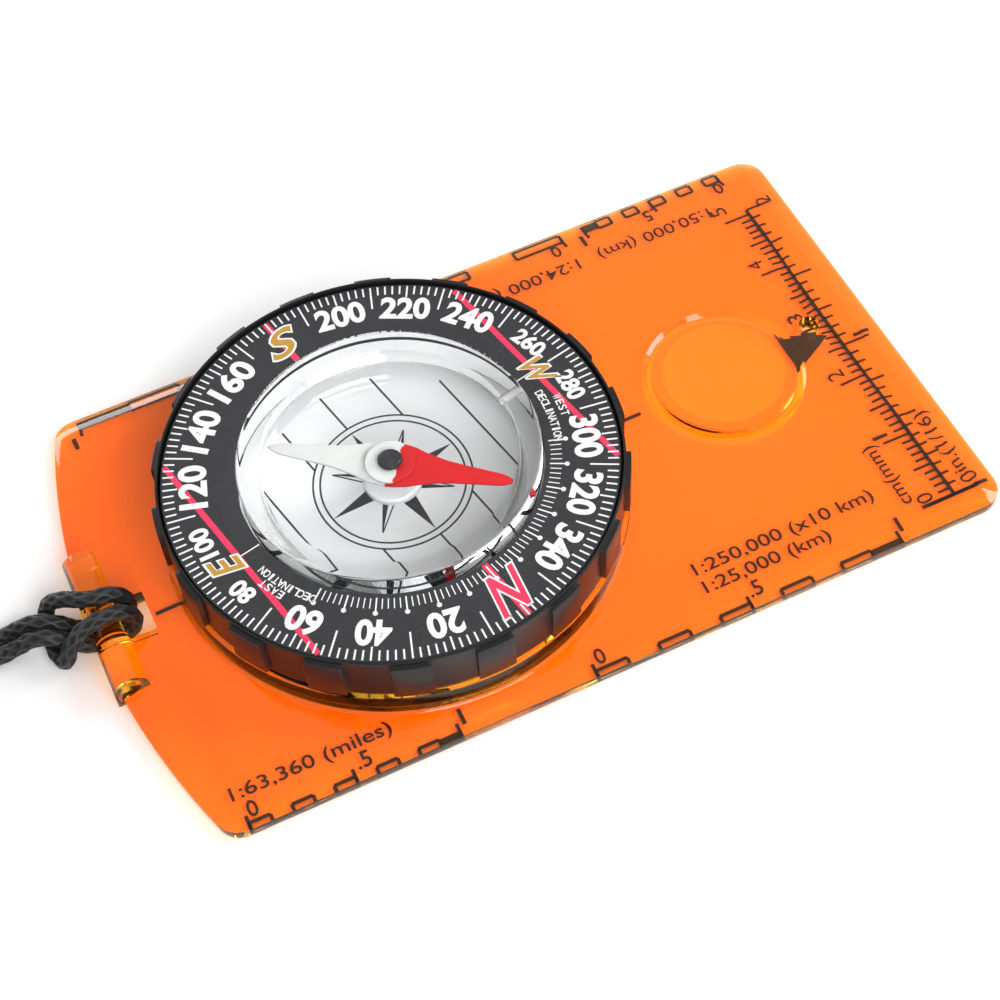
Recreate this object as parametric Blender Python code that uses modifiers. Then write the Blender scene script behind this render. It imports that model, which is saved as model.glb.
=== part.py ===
"""Baseplate compass: a clear orange ruler plate, a housing that turns on it, a floating needle and a lanyard.

Metres, +Z up, +X along the direction of travel. The origin is on the table, under the middle of the plate.
"""

import math

import bmesh
import bpy
from mathutils import Vector

# ---------------------------------------------------------------- driving dimensions
GAP = 0.0003                 # air between two pieces that touch or slide
COVER = 0.0010               # how far a cutter runs past the face it opens
WELD = 0.000001              # points closer than this are one point

PLATE_THICK = 0.0022
FRONT_APRON = 0.0377         # collar to the straight front edge
REAR_APRON = 0.0109          # collar to the crown of the curved lanyard end
SIDE_MARGIN = 0.0032         # collar to a long edge
END_ARC_RADIUS = 0.0920      # curve of the lanyard end
EDGE_BEVEL = 0.0028          # width of the sloping border along every edge
EDGE_DROP = 0.0009           # how far the border slopes down
CORNER_SOFTEN = 0.0002       # corner radius left inside the border

COLLAR_WALL = 0.0038         # upstanding ring that the housing sits on
COLLAR_HEIGHT = 0.0033       # above the plate
COLLAR_FOOT = 0.0003         # flare where the collar meets the plate

LENS_SETBACK = 0.0212        # front edge to the middle of the magnifier
LENS_RADIUS = 0.0090
LENS_CROWN = 0.0005          # how far the lens stands above the plate
LENS_STEP = 0.0001           # upright part of the lens's rim above the plate
MOAT_WIDTH = 0.0011          # groove round the lens
MOAT_DEPTH = 0.0005
MARK_HOLE_SETBACK = 0.0080   # front edge to the marking hole
MARK_HOLE_SIDE = 0.0019      # marking hole off the centre line
MARK_HOLE_RADIUS = 0.0013

BAR_INSET = 0.0018           # crown of the lanyard end to the lanyard bar
BAR_RADIUS = 0.0018          # half-round bar, flat side down
BAR_LIFT = 0.0023            # flat side of the bar above the table
BOSS_RADIUS = 0.0021         # half-round boss at each end of the bar
BOSS_RISE = 0.0028           # height of the boss's centre
BOSS_FOOT = 0.0002           # the boss stays this far off the table
BOSS_LENGTH = 0.0190         # both bosses and the slot between them
SLOT_LENGTH = 0.0056         # opening for the cord, across the plate
SLOT_DEPTH = 0.0053          # lanyard bar to the slot's front wall

HOUSING_HEIGHT = 0.0064      # grip ring, above the collar
RIM_WALL = 0.0003            # thin lip round the dial
SKIRT_INSET = 0.0036         # rim to the skirt that turns in the plate
SKIRT_WALL = 0.0017
GRIP_PROUD = 0.0006          # how far the grip lands stand out of the rim
GRIP_COUNT = 18
GRIP_SHARE = 0.47            # share of the pitch that a land takes
GRIP_DROP = 0.0004           # top of the lands below the lip
GRIP_FOOT = 0.0002           # bottom of the lands above the ring's underside
GRIP_HEADING = 11.2          # degrees from +X to the middle of a land at rest
DIAL_BAND = 0.0087           # width of the printed dial
DIAL_DROP = 0.0005           # dial face below the lip
DIAL_THICK = 0.0009
DIAL_NORTH = -77.96          # degrees from +X to the dial's north at rest
SEAT_STEP = 0.0015           # depth of the recess that holds the capsule's flange
RETAINER_LIP = 0.0013        # how far the retaining ring reaches past the bore
RETAINER_THICK = 0.0005
WASHER_THICK = 0.0003

CAPSULE_RISE = 0.0026        # capsule top above the dial face
CAPSULE_WALL = 0.0027
CAPSULE_TOP = 0.0012         # thickness of the clear top
CAPSULE_ROUND = 0.0006       # rounding of the capsule's top edge
CAPSULE_FLANGE = 0.0008      # flange outside the capsule wall
FLOOR_RISE = 0.0044          # printed floor above the table
FLOOR_STEP = 0.0012          # floor above its outer lip
FLOOR_LIP = 0.0007           # thickness of the outer lip
SEAL_THICK = 0.0005
PLUG_RADIUS = 0.0006
PLUG_RISE = 0.0027           # fill port above the capsule wall's lower end

SEAT_RADIUS = 0.0034         # disc that carries the pivot pin
SEAT_HEIGHT = 0.0011
PIN_RADIUS = 0.00035
PIN_POINT = 0.0009           # length of the pin's cone
PIN_OVER_BLADE = 0.0004      # the needle hangs below its pivot

NEEDLE_HALF = 0.01455        # half the length of the needle
NEEDLE_CLEAR = 0.00045       # needle tip to the capsule wall
NEEDLE_THICK = 0.0004
NEEDLE_RISE = 0.0047         # underside of the blade above the floor
NEEDLE_HEADING = -36.6       # degrees from +X at rest
NEEDLE_SHAPE = (             # share of the half length, half width
    (0.000, 0.00310),
    (0.076, 0.00295),
    (0.165, 0.00270),
    (0.254, 0.00220),
    (0.440, 0.00150),
    (0.605, 0.00120),
    (0.866, 0.00080),
    (0.914, 0.00065),
    (1.000, 0.00005),
)
HUB_RADIUS = 0.0029
HUB_NECK = 0.0016
HUB_FLANGE = 0.0004
JEWEL_RADIUS = 0.0009
JEWEL_CROWN = 0.0003         # jewel above its hollow
CAP_RADIUS = 0.00145
CAP_CROWN = 0.0003

CORD_DIAMETER = 0.0020
CORD_STEP = 0.0017           # spacing of the tube's points
LAID = CORD_DIAMETER / 2.0   # height of the cord's middle where it lies on the table
# Route of each strand, measured from the middle of the lanyard bar on the table. From the coil it runs
# along the table, over the loop that ties it, under the bar, up through the slot, back over the bar and
# down to the middle of that loop, where it meets the other strand.
STRAND_A_ROUTE = (
    (-0.0282, 0.0042, LAID),
    (-0.0240, 0.0046, LAID),
    (-0.0190, 0.0050, LAID),
    (-0.0145, 0.0051, LAID),
    (-0.0114, 0.0050, 0.0011),
    (-0.0097, 0.0046, 0.0019),
    (-0.0080, 0.0039, 0.00305),
    (-0.0063, 0.0032, 0.00335),
    (-0.0047, 0.0025, 0.00275),
    (-0.0032, 0.0019, 0.0016),
    (-0.0016, 0.00145, LAID),
    (0.0002, 0.00135, LAID),
    (0.0018, 0.0014, LAID),
    (0.00295, 0.0014, 0.00175),
    (0.0034, 0.0014, 0.0032),
    (0.0029, 0.0015, 0.00475),
    (0.0016, 0.0017, 0.0058),
    (-0.0001, 0.00185, 0.0060),
    (-0.0018, 0.0027, 0.0057),
    (-0.0034, 0.0041, 0.0049),
    (-0.0047, 0.0052, 0.0036),
    (-0.0054, 0.0057, 0.0022),
    (-0.0060, 0.0052, 0.0011),
    (-0.0063, 0.0039, LAID),
    (-0.0064, 0.00215, LAID),
)
STRAND_B_ROUTE = (
    (-0.0251, 0.0021, LAID),
    (-0.0215, 0.0023, LAID),
    (-0.0175, 0.0025, LAID),
    (-0.0140, 0.0026, LAID),
    (-0.0116, 0.0026, 0.0011),
    (-0.0099, 0.0023, 0.0019),
    (-0.0082, 0.0017, 0.00305),
    (-0.0065, 0.0009, 0.00335),
    (-0.0049, 0.0002, 0.00275),
    (-0.0033, -0.0005, 0.0016),
    (-0.0016, -0.0009, LAID),
    (0.0002, -0.00097, LAID),
    (0.0018, -0.00095, LAID),
    (0.00295, -0.00095, 0.00175),
    (0.0034, -0.00095, 0.0032),
    (0.0029, -0.00095, 0.0046),
    (0.0016, -0.0009, 0.0055),
    (-0.0001, -0.0009, 0.0056),
    (-0.0018, -0.0010, 0.0054),
    (-0.0033, -0.0013, 0.0048),
    (-0.0047, -0.0018, 0.0036),
    (-0.0055, -0.0021, 0.0022),
    (-0.0060, -0.0013, 0.0011),
    (-0.0063, 0.0000, LAID),
    (-0.0064, 0.00185, LAID),
)
COIL_OFFSET = (-0.0361, -0.0099)   # middle of the coil from the middle of the bar
COIL_RADIUS = 0.0110               # middle of the coil's turns
COIL_COLUMNS = 4
COIL_ROWS = 3
TIE_THICK = 0.0005
TIE_WIDTH = 0.0030
TIE_HEADING = 200.0                # degrees round the coil
KNOT_SIZE = (0.0040, 0.0034, 0.0026)

RING_STEPS = 96
SMALL_STEPS = 48
TINY_STEPS = 24

# ---------------------------------------------------------------- sizes and places that follow from them
CHAMBER_RADIUS = NEEDLE_HALF + NEEDLE_CLEAR
CAPSULE_RADIUS = CHAMBER_RADIUS + CAPSULE_WALL
HOUSING_BORE = CAPSULE_RADIUS + GAP
FLANGE_RADIUS = CAPSULE_RADIUS + CAPSULE_FLANGE
DIAL_OUTER = HOUSING_BORE + DIAL_BAND
LIP_INNER = DIAL_OUTER + GAP
RIM_RADIUS = LIP_INNER + RIM_WALL
SKIRT_RADIUS = RIM_RADIUS - SKIRT_INSET
SKIRT_INNER = SKIRT_RADIUS - SKIRT_WALL
BORE_RADIUS = SKIRT_RADIUS + GAP
COLLAR_RADIUS = BORE_RADIUS + COLLAR_WALL

FRONT_REACH = COLLAR_RADIUS + FRONT_APRON
REAR_REACH = COLLAR_RADIUS + REAR_APRON
BAR_REACH = REAR_REACH - BAR_INSET
PLATE_WIDTH = 2.0 * (COLLAR_RADIUS + SIDE_MARGIN)
CORNER_RADIUS = EDGE_BEVEL + CORNER_SOFTEN
OBJECT_REAR = max(REAR_REACH, BAR_REACH + BOSS_RADIUS)
DIAL_X = -(FRONT_REACH - OBJECT_REAR) / 2.0
FRONT_X = DIAL_X + FRONT_REACH
REAR_X = DIAL_X - REAR_REACH
BAR_X = DIAL_X - BAR_REACH

RETAINER_TOP = GAP + RETAINER_THICK
WASHER_TOP = RETAINER_TOP + GAP + WASHER_THICK
RECESS_TOP = WASHER_TOP + GAP
COLLAR_TOP = PLATE_THICK + COLLAR_HEIGHT
HOUSING_BOTTOM = COLLAR_TOP + GAP
LIP_TOP = HOUSING_BOTTOM + HOUSING_HEIGHT
DIAL_TOP = LIP_TOP - DIAL_DROP
DIAL_BOTTOM = DIAL_TOP - DIAL_THICK
SEAT_TOP = DIAL_BOTTOM - GAP
SEAT_BOTTOM = SEAT_TOP - SEAT_STEP
CAPSULE_CREST = DIAL_TOP + CAPSULE_RISE
CHAMBER_TOP = CAPSULE_CREST - CAPSULE_TOP
FLOOR_LIP_TOP = FLOOR_RISE - FLOOR_STEP
SEAL_BOTTOM = FLOOR_LIP_TOP + GAP
SEAL_TOP = SEAL_BOTTOM + SEAL_THICK
CAPSULE_BOTTOM = SEAL_TOP + GAP

BLADE_BOTTOM = FLOOR_RISE + NEEDLE_RISE
BLADE_TOP = BLADE_BOTTOM + NEEDLE_THICK
HUB_BOTTOM = BLADE_BOTTOM - GAP - HUB_FLANGE
HUB_TOP = BLADE_TOP + GAP + HUB_FLANGE
PIN_TIP = BLADE_TOP + PIN_OVER_BLADE
JEWEL_HOLLOW_TOP = PIN_TIP + GAP
JEWEL_TOP = JEWEL_HOLLOW_TOP + JEWEL_CROWN
JEWEL_BORE = JEWEL_RADIUS + GAP
CAP_HOLLOW_TOP = JEWEL_TOP + GAP

COIL_LIFT = TIE_THICK + GAP
COIL_WIDTH = COIL_COLUMNS * CORD_DIAMETER + GAP
COIL_HEIGHT = COIL_ROWS * CORD_DIAMETER


# ---------------------------------------------------------------- scene helpers
def clear_scene():
    for item in list(bpy.data.objects):
        bpy.data.objects.remove(item, do_unlink=True)


def new_collection(name):
    collection = bpy.data.collections.new(name)
    bpy.context.scene.collection.children.link(collection)
    return collection


def principled(name, colour, roughness, metallic=0.0, clear=0.0):
    material = bpy.data.materials.new(name)
    material.use_nodes = True
    shader = material.node_tree.nodes["Principled BSDF"]
    shader.inputs["Base Color"].default_value = (*colour, 1.0)
    shader.inputs["Roughness"].default_value = roughness
    shader.inputs["Metallic"].default_value = metallic
    shader.inputs["Transmission Weight"].default_value = clear
    return material


def add_object(name, mesh, collection, material=None, parent=None):
    item = bpy.data.objects.new(name, mesh)
    collection.objects.link(item)
    item.parent = parent
    if material is not None:
        mesh.materials.append(material)
    return item


def add_cutter(name, mesh, parent=None):
    item = add_object(name, mesh, CUTTERS, parent=parent)
    item.hide_render = True
    item.display_type = "WIRE"
    return item


def add_axis(name, x, y=0.0, parent=None):
    empty = bpy.data.objects.new(name, None)
    PARTS.objects.link(empty)
    empty.location = (x, y, 0.0)
    empty.parent = parent
    return empty


def boolean(target, tool, operation):
    modifier = target.modifiers.new(tool.name, "BOOLEAN")
    modifier.operation = operation
    modifier.object = tool
    modifier.solver = "EXACT"


# ---------------------------------------------------------------- shape helpers
def arc(cx, cy, radius, start, end, steps):
    """Points on an arc about (cx, cy), from start to end degrees, both included."""
    points = []
    for i in range(steps + 1):
        angle = math.radians(start + (end - start) * i / steps)
        points.append((cx + radius * math.cos(angle), cy + radius * math.sin(angle)))
    return points


def profile_mesh(name, profile, closed):
    """An edge loop or chain of (radius, height) points in the XZ plane."""
    mesh = bpy.data.meshes.new(name)
    count = len(profile)
    edges = [(i, i + 1) for i in range(count - 1)]
    if closed:
        edges.append((count - 1, 0))
    mesh.from_pydata([(r, 0.0, z) for r, z in profile], edges, [])
    return mesh


def turn(item, steps):
    """Turn the item's profile a full circle about its Z axis."""
    screw = item.modifiers.new("Turn", "SCREW")
    screw.axis = "Z"
    screw.steps = steps
    screw.render_steps = steps
    screw.use_merge_vertices = True
    screw.merge_threshold = WELD


def turned(name, profile, steps, material, parent, closed=True):
    item = add_object(name, profile_mesh(name, profile, closed), PARTS, material, parent)
    turn(item, steps)
    return item


def turned_cutter(name, profile, steps, parent, closed=True):
    item = add_cutter(name, profile_mesh(name, profile, closed), parent)
    turn(item, steps)
    return item


def solid_from_curve(name, curve):
    """The curve's mesh with its caps welded on."""
    holder = bpy.data.objects.new(name + "_curve", curve)
    bpy.context.scene.collection.objects.link(holder)
    graph = bpy.context.evaluated_depsgraph_get()
    mesh = bpy.data.meshes.new_from_object(holder.evaluated_get(graph))
    mesh.name = name
    bpy.data.objects.remove(holder, do_unlink=True)
    cage = bmesh.new()
    cage.from_mesh(mesh)
    bmesh.ops.remove_doubles(cage, verts=cage.verts, dist=WELD)
    bmesh.ops.recalc_face_normals(cage, faces=cage.faces)
    cage.to_mesh(mesh)
    cage.free()
    return mesh


def flat_solid(name, outlines, thickness):
    """A slab from closed flat outlines; one inside another is a hole. Its middle is at height 0."""
    curve = bpy.data.curves.new(name, "CURVE")
    curve.dimensions = "2D"
    curve.fill_mode = "BOTH"
    curve.extrude = thickness / 2.0
    for outline in outlines:
        spline = curve.splines.new("POLY")
        spline.points.add(len(outline) - 1)
        for point, (x, y) in zip(spline.points, outline):
            point.co = (x, y, 0.0, 1.0)
        spline.use_cyclic_u = True
    return solid_from_curve(name, curve)


def move_mesh(mesh, x=0.0, y=0.0, z=0.0):
    for vertex in mesh.vertices:
        vertex.co += Vector((x, y, z))


def stand_across(mesh):
    """Turn a slab drawn as (x, height) so that its thickness runs along Y."""
    for vertex in mesh.vertices:
        x, height, depth = vertex.co
        vertex.co = (x, -depth, height)


def box_solid(name, low, high):
    cage = bmesh.new()
    bmesh.ops.create_cube(cage, size=1.0)
    bmesh.ops.scale(cage, vec=Vector(high) - Vector(low), verts=cage.verts)
    bmesh.ops.translate(cage, vec=(Vector(low) + Vector(high)) / 2.0, verts=cage.verts)
    mesh = bpy.data.meshes.new(name)
    cage.to_mesh(mesh)
    cage.free()
    return mesh


def smooth_route(route, step):
    """Points a step apart along a smooth curve through every point of the route."""
    ends = [2.0 * route[0] - route[1]] + route + [2.0 * route[-1] - route[-2]]
    fine = []
    for before, start, end, after in zip(ends, ends[1:], ends[2:], ends[3:]):
        for k in range(16):
            t = k / 16.0
            fine.append(0.5 * (2.0 * start + (end - before) * t
                               + (2.0 * before - 5.0 * start + 4.0 * end - after) * t * t
                               + (3.0 * start - 3.0 * end + after - before) * t ** 3))
    fine.append(route[-1])
    length = sum((b - a).length for a, b in zip(fine, fine[1:]))
    count = max(2, round(length / step))
    points = [fine[0]]
    travelled = 0.0
    for a, b in zip(fine, fine[1:]):
        travelled += (b - a).length
        if travelled >= length * len(points) / count - WELD:
            points.append(b)
    return points


def cord_solid(name, route, step):
    curve = bpy.data.curves.new(name, "CURVE")
    curve.dimensions = "3D"
    curve.bevel_depth = CORD_DIAMETER / 2.0
    curve.bevel_resolution = 2
    curve.use_fill_caps = True
    curve.twist_mode = "MINIMUM"
    spline = curve.splines.new("POLY")
    points = smooth_route(route, step)
    spline.points.add(len(points) - 1)
    for point, place in zip(spline.points, points):
        point.co = (*place, 1.0)
    return solid_from_curve(name, curve)


# ---------------------------------------------------------------- baseplate
def plate_outline():
    """Straight front and long edges, four round corners and one wide arc at the lanyard end."""
    inner = PLATE_WIDTH / 2.0 - CORNER_RADIUS
    front_x = FRONT_X - CORNER_RADIUS
    arc_x = REAR_X + END_ARC_RADIUS
    reach = END_ARC_RADIUS - CORNER_RADIUS     # the end arc and the rear corners run on into each other
    swing = math.degrees(math.asin(inner / reach))
    rear_x = arc_x - reach * math.cos(math.radians(swing))
    outline = arc(front_x, -inner, CORNER_RADIUS, -90.0, 0.0, 6)
    outline += arc(front_x, inner, CORNER_RADIUS, 0.0, 90.0, 6)
    outline += arc(rear_x, inner, CORNER_RADIUS, 90.0, 180.0 - swing, 6)
    outline += arc(arc_x, 0.0, END_ARC_RADIUS, 180.0 - swing, 180.0 + swing, 24)[1:-1]
    outline += arc(rear_x, -inner, CORNER_RADIUS, 180.0 + swing, 270.0, 6)
    return outline


def slope_border(mesh):
    """Raise the middle of the slab's top face, which leaves a sloping border round it."""
    cage = bmesh.new()
    cage.from_mesh(mesh)
    top = [face for face in cage.faces if face.normal.z > 0.9]
    bmesh.ops.inset_region(cage, faces=top, thickness=EDGE_BEVEL, depth=EDGE_DROP,
                           use_boundary=True, use_even_offset=True)
    cage.to_mesh(mesh)
    cage.free()


def half_round(radius, foot, centre):
    """A section with a half-round top and straight sides down to its foot, as (x, height)."""
    outline = arc(0.0, centre, radius, 0.0, 180.0, 14)
    if centre > foot:
        outline += [(-radius, foot), (radius, foot)]
    return outline


def make_baseplate():
    edge_height = PLATE_THICK - EDGE_DROP
    mesh = flat_solid("baseplate", [plate_outline()], edge_height)
    move_mesh(mesh, z=edge_height / 2.0)
    slope_border(mesh)
    plate = add_object("baseplate", mesh, PARTS, ORANGE)
    half_way = PLATE_THICK / 2.0

    collar = turned_cutter("collar", [
        (COLLAR_RADIUS, COLLAR_TOP),
        (COLLAR_RADIUS, PLATE_THICK + COLLAR_FOOT),
        (COLLAR_RADIUS + 2.0 * COLLAR_FOOT, PLATE_THICK - COLLAR_FOOT),
        (COLLAR_RADIUS + 2.0 * COLLAR_FOOT, half_way),
        (BORE_RADIUS - COVER, half_way),
        (BORE_RADIUS - COVER, COLLAR_TOP),
    ], RING_STEPS, HOUSING_AXIS)
    boolean(plate, collar, "UNION")
    bore = turned_cutter("housing_bore", [
        (0.0, COLLAR_TOP + COVER),
        (BORE_RADIUS, COLLAR_TOP + COVER),
        (BORE_RADIUS, RECESS_TOP),
        (BORE_RADIUS + RETAINER_LIP + GAP, RECESS_TOP),
        (BORE_RADIUS + RETAINER_LIP + GAP, -COVER),
        (0.0, -COVER),
    ], RING_STEPS, HOUSING_AXIS, closed=False)
    boolean(plate, bore, "DIFFERENCE")

    lens_axis = add_axis("lens_axis", FRONT_X - LENS_SETBACK)
    moat_floor = LENS_RADIUS + MOAT_WIDTH / 2.0
    moat_slope = MOAT_WIDTH / 2.0 / MOAT_DEPTH
    moat = turned_cutter("lens_moat", [
        (moat_floor + moat_slope * (MOAT_DEPTH + COVER), PLATE_THICK + COVER),
        (moat_floor, PLATE_THICK - MOAT_DEPTH),
        (LENS_RADIUS, PLATE_THICK - MOAT_DEPTH),
        (LENS_RADIUS, PLATE_THICK + COVER),
    ], SMALL_STEPS, lens_axis)
    boolean(plate, moat, "DIFFERENCE")
    crown_base = PLATE_THICK - MOAT_DEPTH / 2.0
    crown_reach = LENS_RADIUS - GAP / 2.0
    crown_depth = LENS_CROWN - LENS_STEP
    crown_radius = (crown_reach ** 2 + crown_depth ** 2) / (2.0 * crown_depth)
    dome = [(0.0, PLATE_THICK + LENS_CROWN)]
    for share in (0.2, 0.4, 0.6, 0.8, 1.0):
        sink = crown_radius - math.sqrt(crown_radius ** 2 - (share * crown_reach) ** 2)
        dome.append((share * crown_reach, PLATE_THICK + LENS_CROWN - sink))
    dome += [(crown_reach, crown_base), (0.0, crown_base)]
    boolean(plate, turned_cutter("lens_crown", dome, SMALL_STEPS, lens_axis, closed=False), "UNION")

    hole_axis = add_axis("mark_hole_axis", FRONT_X - MARK_HOLE_SETBACK, MARK_HOLE_SIDE)
    hole = turned_cutter("mark_hole", [
        (0.0, PLATE_THICK + COVER),
        (MARK_HOLE_RADIUS, PLATE_THICK + COVER),
        (MARK_HOLE_RADIUS, -COVER),
        (0.0, -COVER),
    ], TINY_STEPS, hole_axis, closed=False)
    boolean(plate, hole, "DIFFERENCE")

    boss_mesh = flat_solid("lanyard_boss", [half_round(BOSS_RADIUS, BOSS_FOOT, BOSS_RISE)], BOSS_LENGTH)
    stand_across(boss_mesh)
    move_mesh(boss_mesh, x=BAR_X)
    boolean(plate, add_cutter("lanyard_boss", boss_mesh), "UNION")
    slot_mesh = box_solid("lanyard_slot",
                          (BAR_X - BOSS_RADIUS - BAR_INSET - COVER, -SLOT_LENGTH / 2.0, -COVER),
                          (BAR_X + SLOT_DEPTH, SLOT_LENGTH / 2.0, BOSS_RISE + BOSS_RADIUS + COVER))
    boolean(plate, add_cutter("lanyard_slot", slot_mesh), "DIFFERENCE")
    root = BAR_RADIUS                          # how far the bar is rooted in each boss
    bar_mesh = flat_solid("lanyard_bar", [half_round(BAR_RADIUS, BAR_LIFT, BAR_LIFT)],
                          SLOT_LENGTH + 2.0 * root)
    stand_across(bar_mesh)
    move_mesh(bar_mesh, x=BAR_X)
    boolean(plate, add_cutter("lanyard_bar", bar_mesh), "UNION")
    return plate


# ---------------------------------------------------------------- turning housing
def grip_land_outline(middle):
    half = 360.0 / GRIP_COUNT * GRIP_SHARE / 2.0
    outline = arc(0.0, 0.0, RIM_RADIUS + GRIP_PROUD, middle - half, middle + half, 4)
    outline += arc(0.0, 0.0, (LIP_INNER + RIM_RADIUS) / 2.0, middle + half, middle - half, 2)
    return outline


def make_grip_ring():
    ring = turned("grip_ring", [
        (RIM_RADIUS, LIP_TOP),
        (RIM_RADIUS, HOUSING_BOTTOM),
        (SKIRT_RADIUS, HOUSING_BOTTOM),
        (SKIRT_RADIUS, RETAINER_TOP + GAP),
        (SKIRT_INNER, RETAINER_TOP + GAP),
        (SKIRT_INNER, SEAT_BOTTOM - SKIRT_WALL),
        (HOUSING_BORE, SEAT_BOTTOM - SKIRT_WALL),
        (HOUSING_BORE, SEAT_BOTTOM),
        (FLANGE_RADIUS + GAP, SEAT_BOTTOM),
        (FLANGE_RADIUS + GAP, SEAT_TOP),
        (LIP_INNER, SEAT_TOP),
        (LIP_INNER, LIP_TOP),
    ], RING_STEPS, BLACK, HOUSING_AXIS)
    low = HOUSING_BOTTOM + GRIP_FOOT
    high = LIP_TOP - GRIP_DROP
    pitch = 360.0 / GRIP_COUNT
    lands = flat_solid("grip_lands", [grip_land_outline(GRIP_HEADING + pitch * i)
                                      for i in range(GRIP_COUNT)], high - low)
    move_mesh(lands, z=(low + high) / 2.0)
    boolean(ring, add_cutter("grip_lands", lands, HOUSING_AXIS), "UNION")
    return ring


def make_dial_ring():
    return turned("dial_ring", [
        (DIAL_OUTER, DIAL_TOP),
        (DIAL_OUTER, DIAL_BOTTOM),
        (HOUSING_BORE, DIAL_BOTTOM),
        (HOUSING_BORE, DIAL_TOP),
    ], RING_STEPS, DIAL_BLACK, HOUSING_AXIS)


def lay_along_radius(item, start):
    """Lay a piece that was turned about Z along the fill port, beginning this far from the dial axis."""
    heading = math.radians(DIAL_NORTH + 90.0)
    item.rotation_euler = (0.0, math.pi / 2.0, heading)
    item.location = (start * math.cos(heading), start * math.sin(heading), CAPSULE_BOTTOM + PLUG_RISE)


def make_capsule_dome():
    shoulder = 0.3 * CAPSULE_ROUND
    dome = turned("capsule_dome", [
        (0.0, CAPSULE_CREST),
        (CAPSULE_RADIUS - CAPSULE_ROUND, CAPSULE_CREST),
        (CAPSULE_RADIUS - shoulder, CAPSULE_CREST - shoulder),
        (CAPSULE_RADIUS, CAPSULE_CREST - CAPSULE_ROUND),
        (CAPSULE_RADIUS, SEAT_TOP),
        (FLANGE_RADIUS, SEAT_TOP),
        (FLANGE_RADIUS, SEAT_BOTTOM + GAP),
        (CAPSULE_RADIUS, SEAT_BOTTOM + GAP),
        (CAPSULE_RADIUS, CAPSULE_BOTTOM),
        (CHAMBER_RADIUS, CAPSULE_BOTTOM),
        (CHAMBER_RADIUS, CHAMBER_TOP),
        (0.0, CHAMBER_TOP),
    ], RING_STEPS, CLEAR, HOUSING_AXIS, closed=False)
    port = turned_cutter("fill_port", [
        (0.0, CAPSULE_WALL + 2.0 * COVER),
        (PLUG_RADIUS + GAP, CAPSULE_WALL + 2.0 * COVER),
        (PLUG_RADIUS + GAP, 0.0),
        (0.0, 0.0),
    ], TINY_STEPS, HOUSING_AXIS, closed=False)
    lay_along_radius(port, CHAMBER_RADIUS - COVER)
    boolean(dome, port, "DIFFERENCE")
    return dome


def make_fill_plug():
    inset = GAP
    plug = turned("fill_plug", [
        (0.0, CAPSULE_WALL - inset),
        (PLUG_RADIUS, CAPSULE_WALL - inset),
        (PLUG_RADIUS, 0.0),
        (0.0, 0.0),
    ], TINY_STEPS, WHITE, HOUSING_AXIS, closed=False)
    lay_along_radius(plug, CHAMBER_RADIUS + inset)
    return plug


def make_capsule_floor():
    return turned("capsule_floor", [
        (0.0, FLOOR_RISE),
        (CHAMBER_RADIUS - GAP, FLOOR_RISE),
        (CHAMBER_RADIUS - GAP, FLOOR_LIP_TOP),
        (CAPSULE_RADIUS, FLOOR_LIP_TOP),
        (CAPSULE_RADIUS, FLOOR_LIP_TOP - FLOOR_LIP),
        (0.0, FLOOR_LIP_TOP - FLOOR_LIP),
    ], RING_STEPS, CLEAR, HOUSING_AXIS, closed=False)


def make_capsule_seal():
    return turned("capsule_seal", [
        (CAPSULE_RADIUS - GAP, SEAL_TOP),
        (CAPSULE_RADIUS - GAP, SEAL_BOTTOM),
        (CHAMBER_RADIUS + GAP, SEAL_BOTTOM),
        (CHAMBER_RADIUS + GAP, SEAL_TOP),
    ], RING_STEPS, SILICONE, HOUSING_AXIS)


def make_retaining_ring():
    return turned("retaining_ring", [
        (BORE_RADIUS + RETAINER_LIP, RETAINER_TOP),
        (BORE_RADIUS + RETAINER_LIP, GAP),
        (SKIRT_INNER, GAP),
        (SKIRT_INNER, RETAINER_TOP),
    ], RING_STEPS, BLACK, HOUSING_AXIS)


def make_friction_washer():
    return turned("friction_washer", [
        (BORE_RADIUS + RETAINER_LIP, WASHER_TOP),
        (BORE_RADIUS + RETAINER_LIP, WASHER_TOP - WASHER_THICK),
        (BORE_RADIUS, WASHER_TOP - WASHER_THICK),
        (BORE_RADIUS, WASHER_TOP),
    ], RING_STEPS, STEEL, HOUSING_AXIS)


# ---------------------------------------------------------------- pivot and needle
def make_pivot_seat():
    low = FLOOR_RISE + GAP
    high = low + SEAT_HEIGHT
    chamfer = SEAT_HEIGHT / 4.0
    bore = PIN_RADIUS + GAP
    return turned("pivot_seat", [
        (SEAT_RADIUS - chamfer, high),
        (SEAT_RADIUS, high - chamfer),
        (SEAT_RADIUS, low),
        (bore, low),
        (bore, high),
    ], SMALL_STEPS, WHITE, HOUSING_AXIS)


def make_pivot_pin():
    return turned("pivot_pin", [
        (0.0, PIN_TIP),
        (PIN_RADIUS, PIN_TIP - PIN_POINT),
        (PIN_RADIUS, FLOOR_RISE + GAP),
        (0.0, FLOOR_RISE + GAP),
    ], TINY_STEPS, STEEL, HOUSING_AXIS, closed=False)


def needle_outline():
    """The north half from its tip to the hub, then its mirror images."""
    side = [(share * NEEDLE_HALF, width) for share, width in NEEDLE_SHAPE]
    front_left = list(reversed(side))
    rear_left = [(-x, y) for x, y in side[1:]]
    rear_right = [(-x, -y) for x, y in reversed(side)]
    front_right = [(x, -y) for x, y in side[1:]]
    return front_left + rear_left + rear_right + front_right


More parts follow.
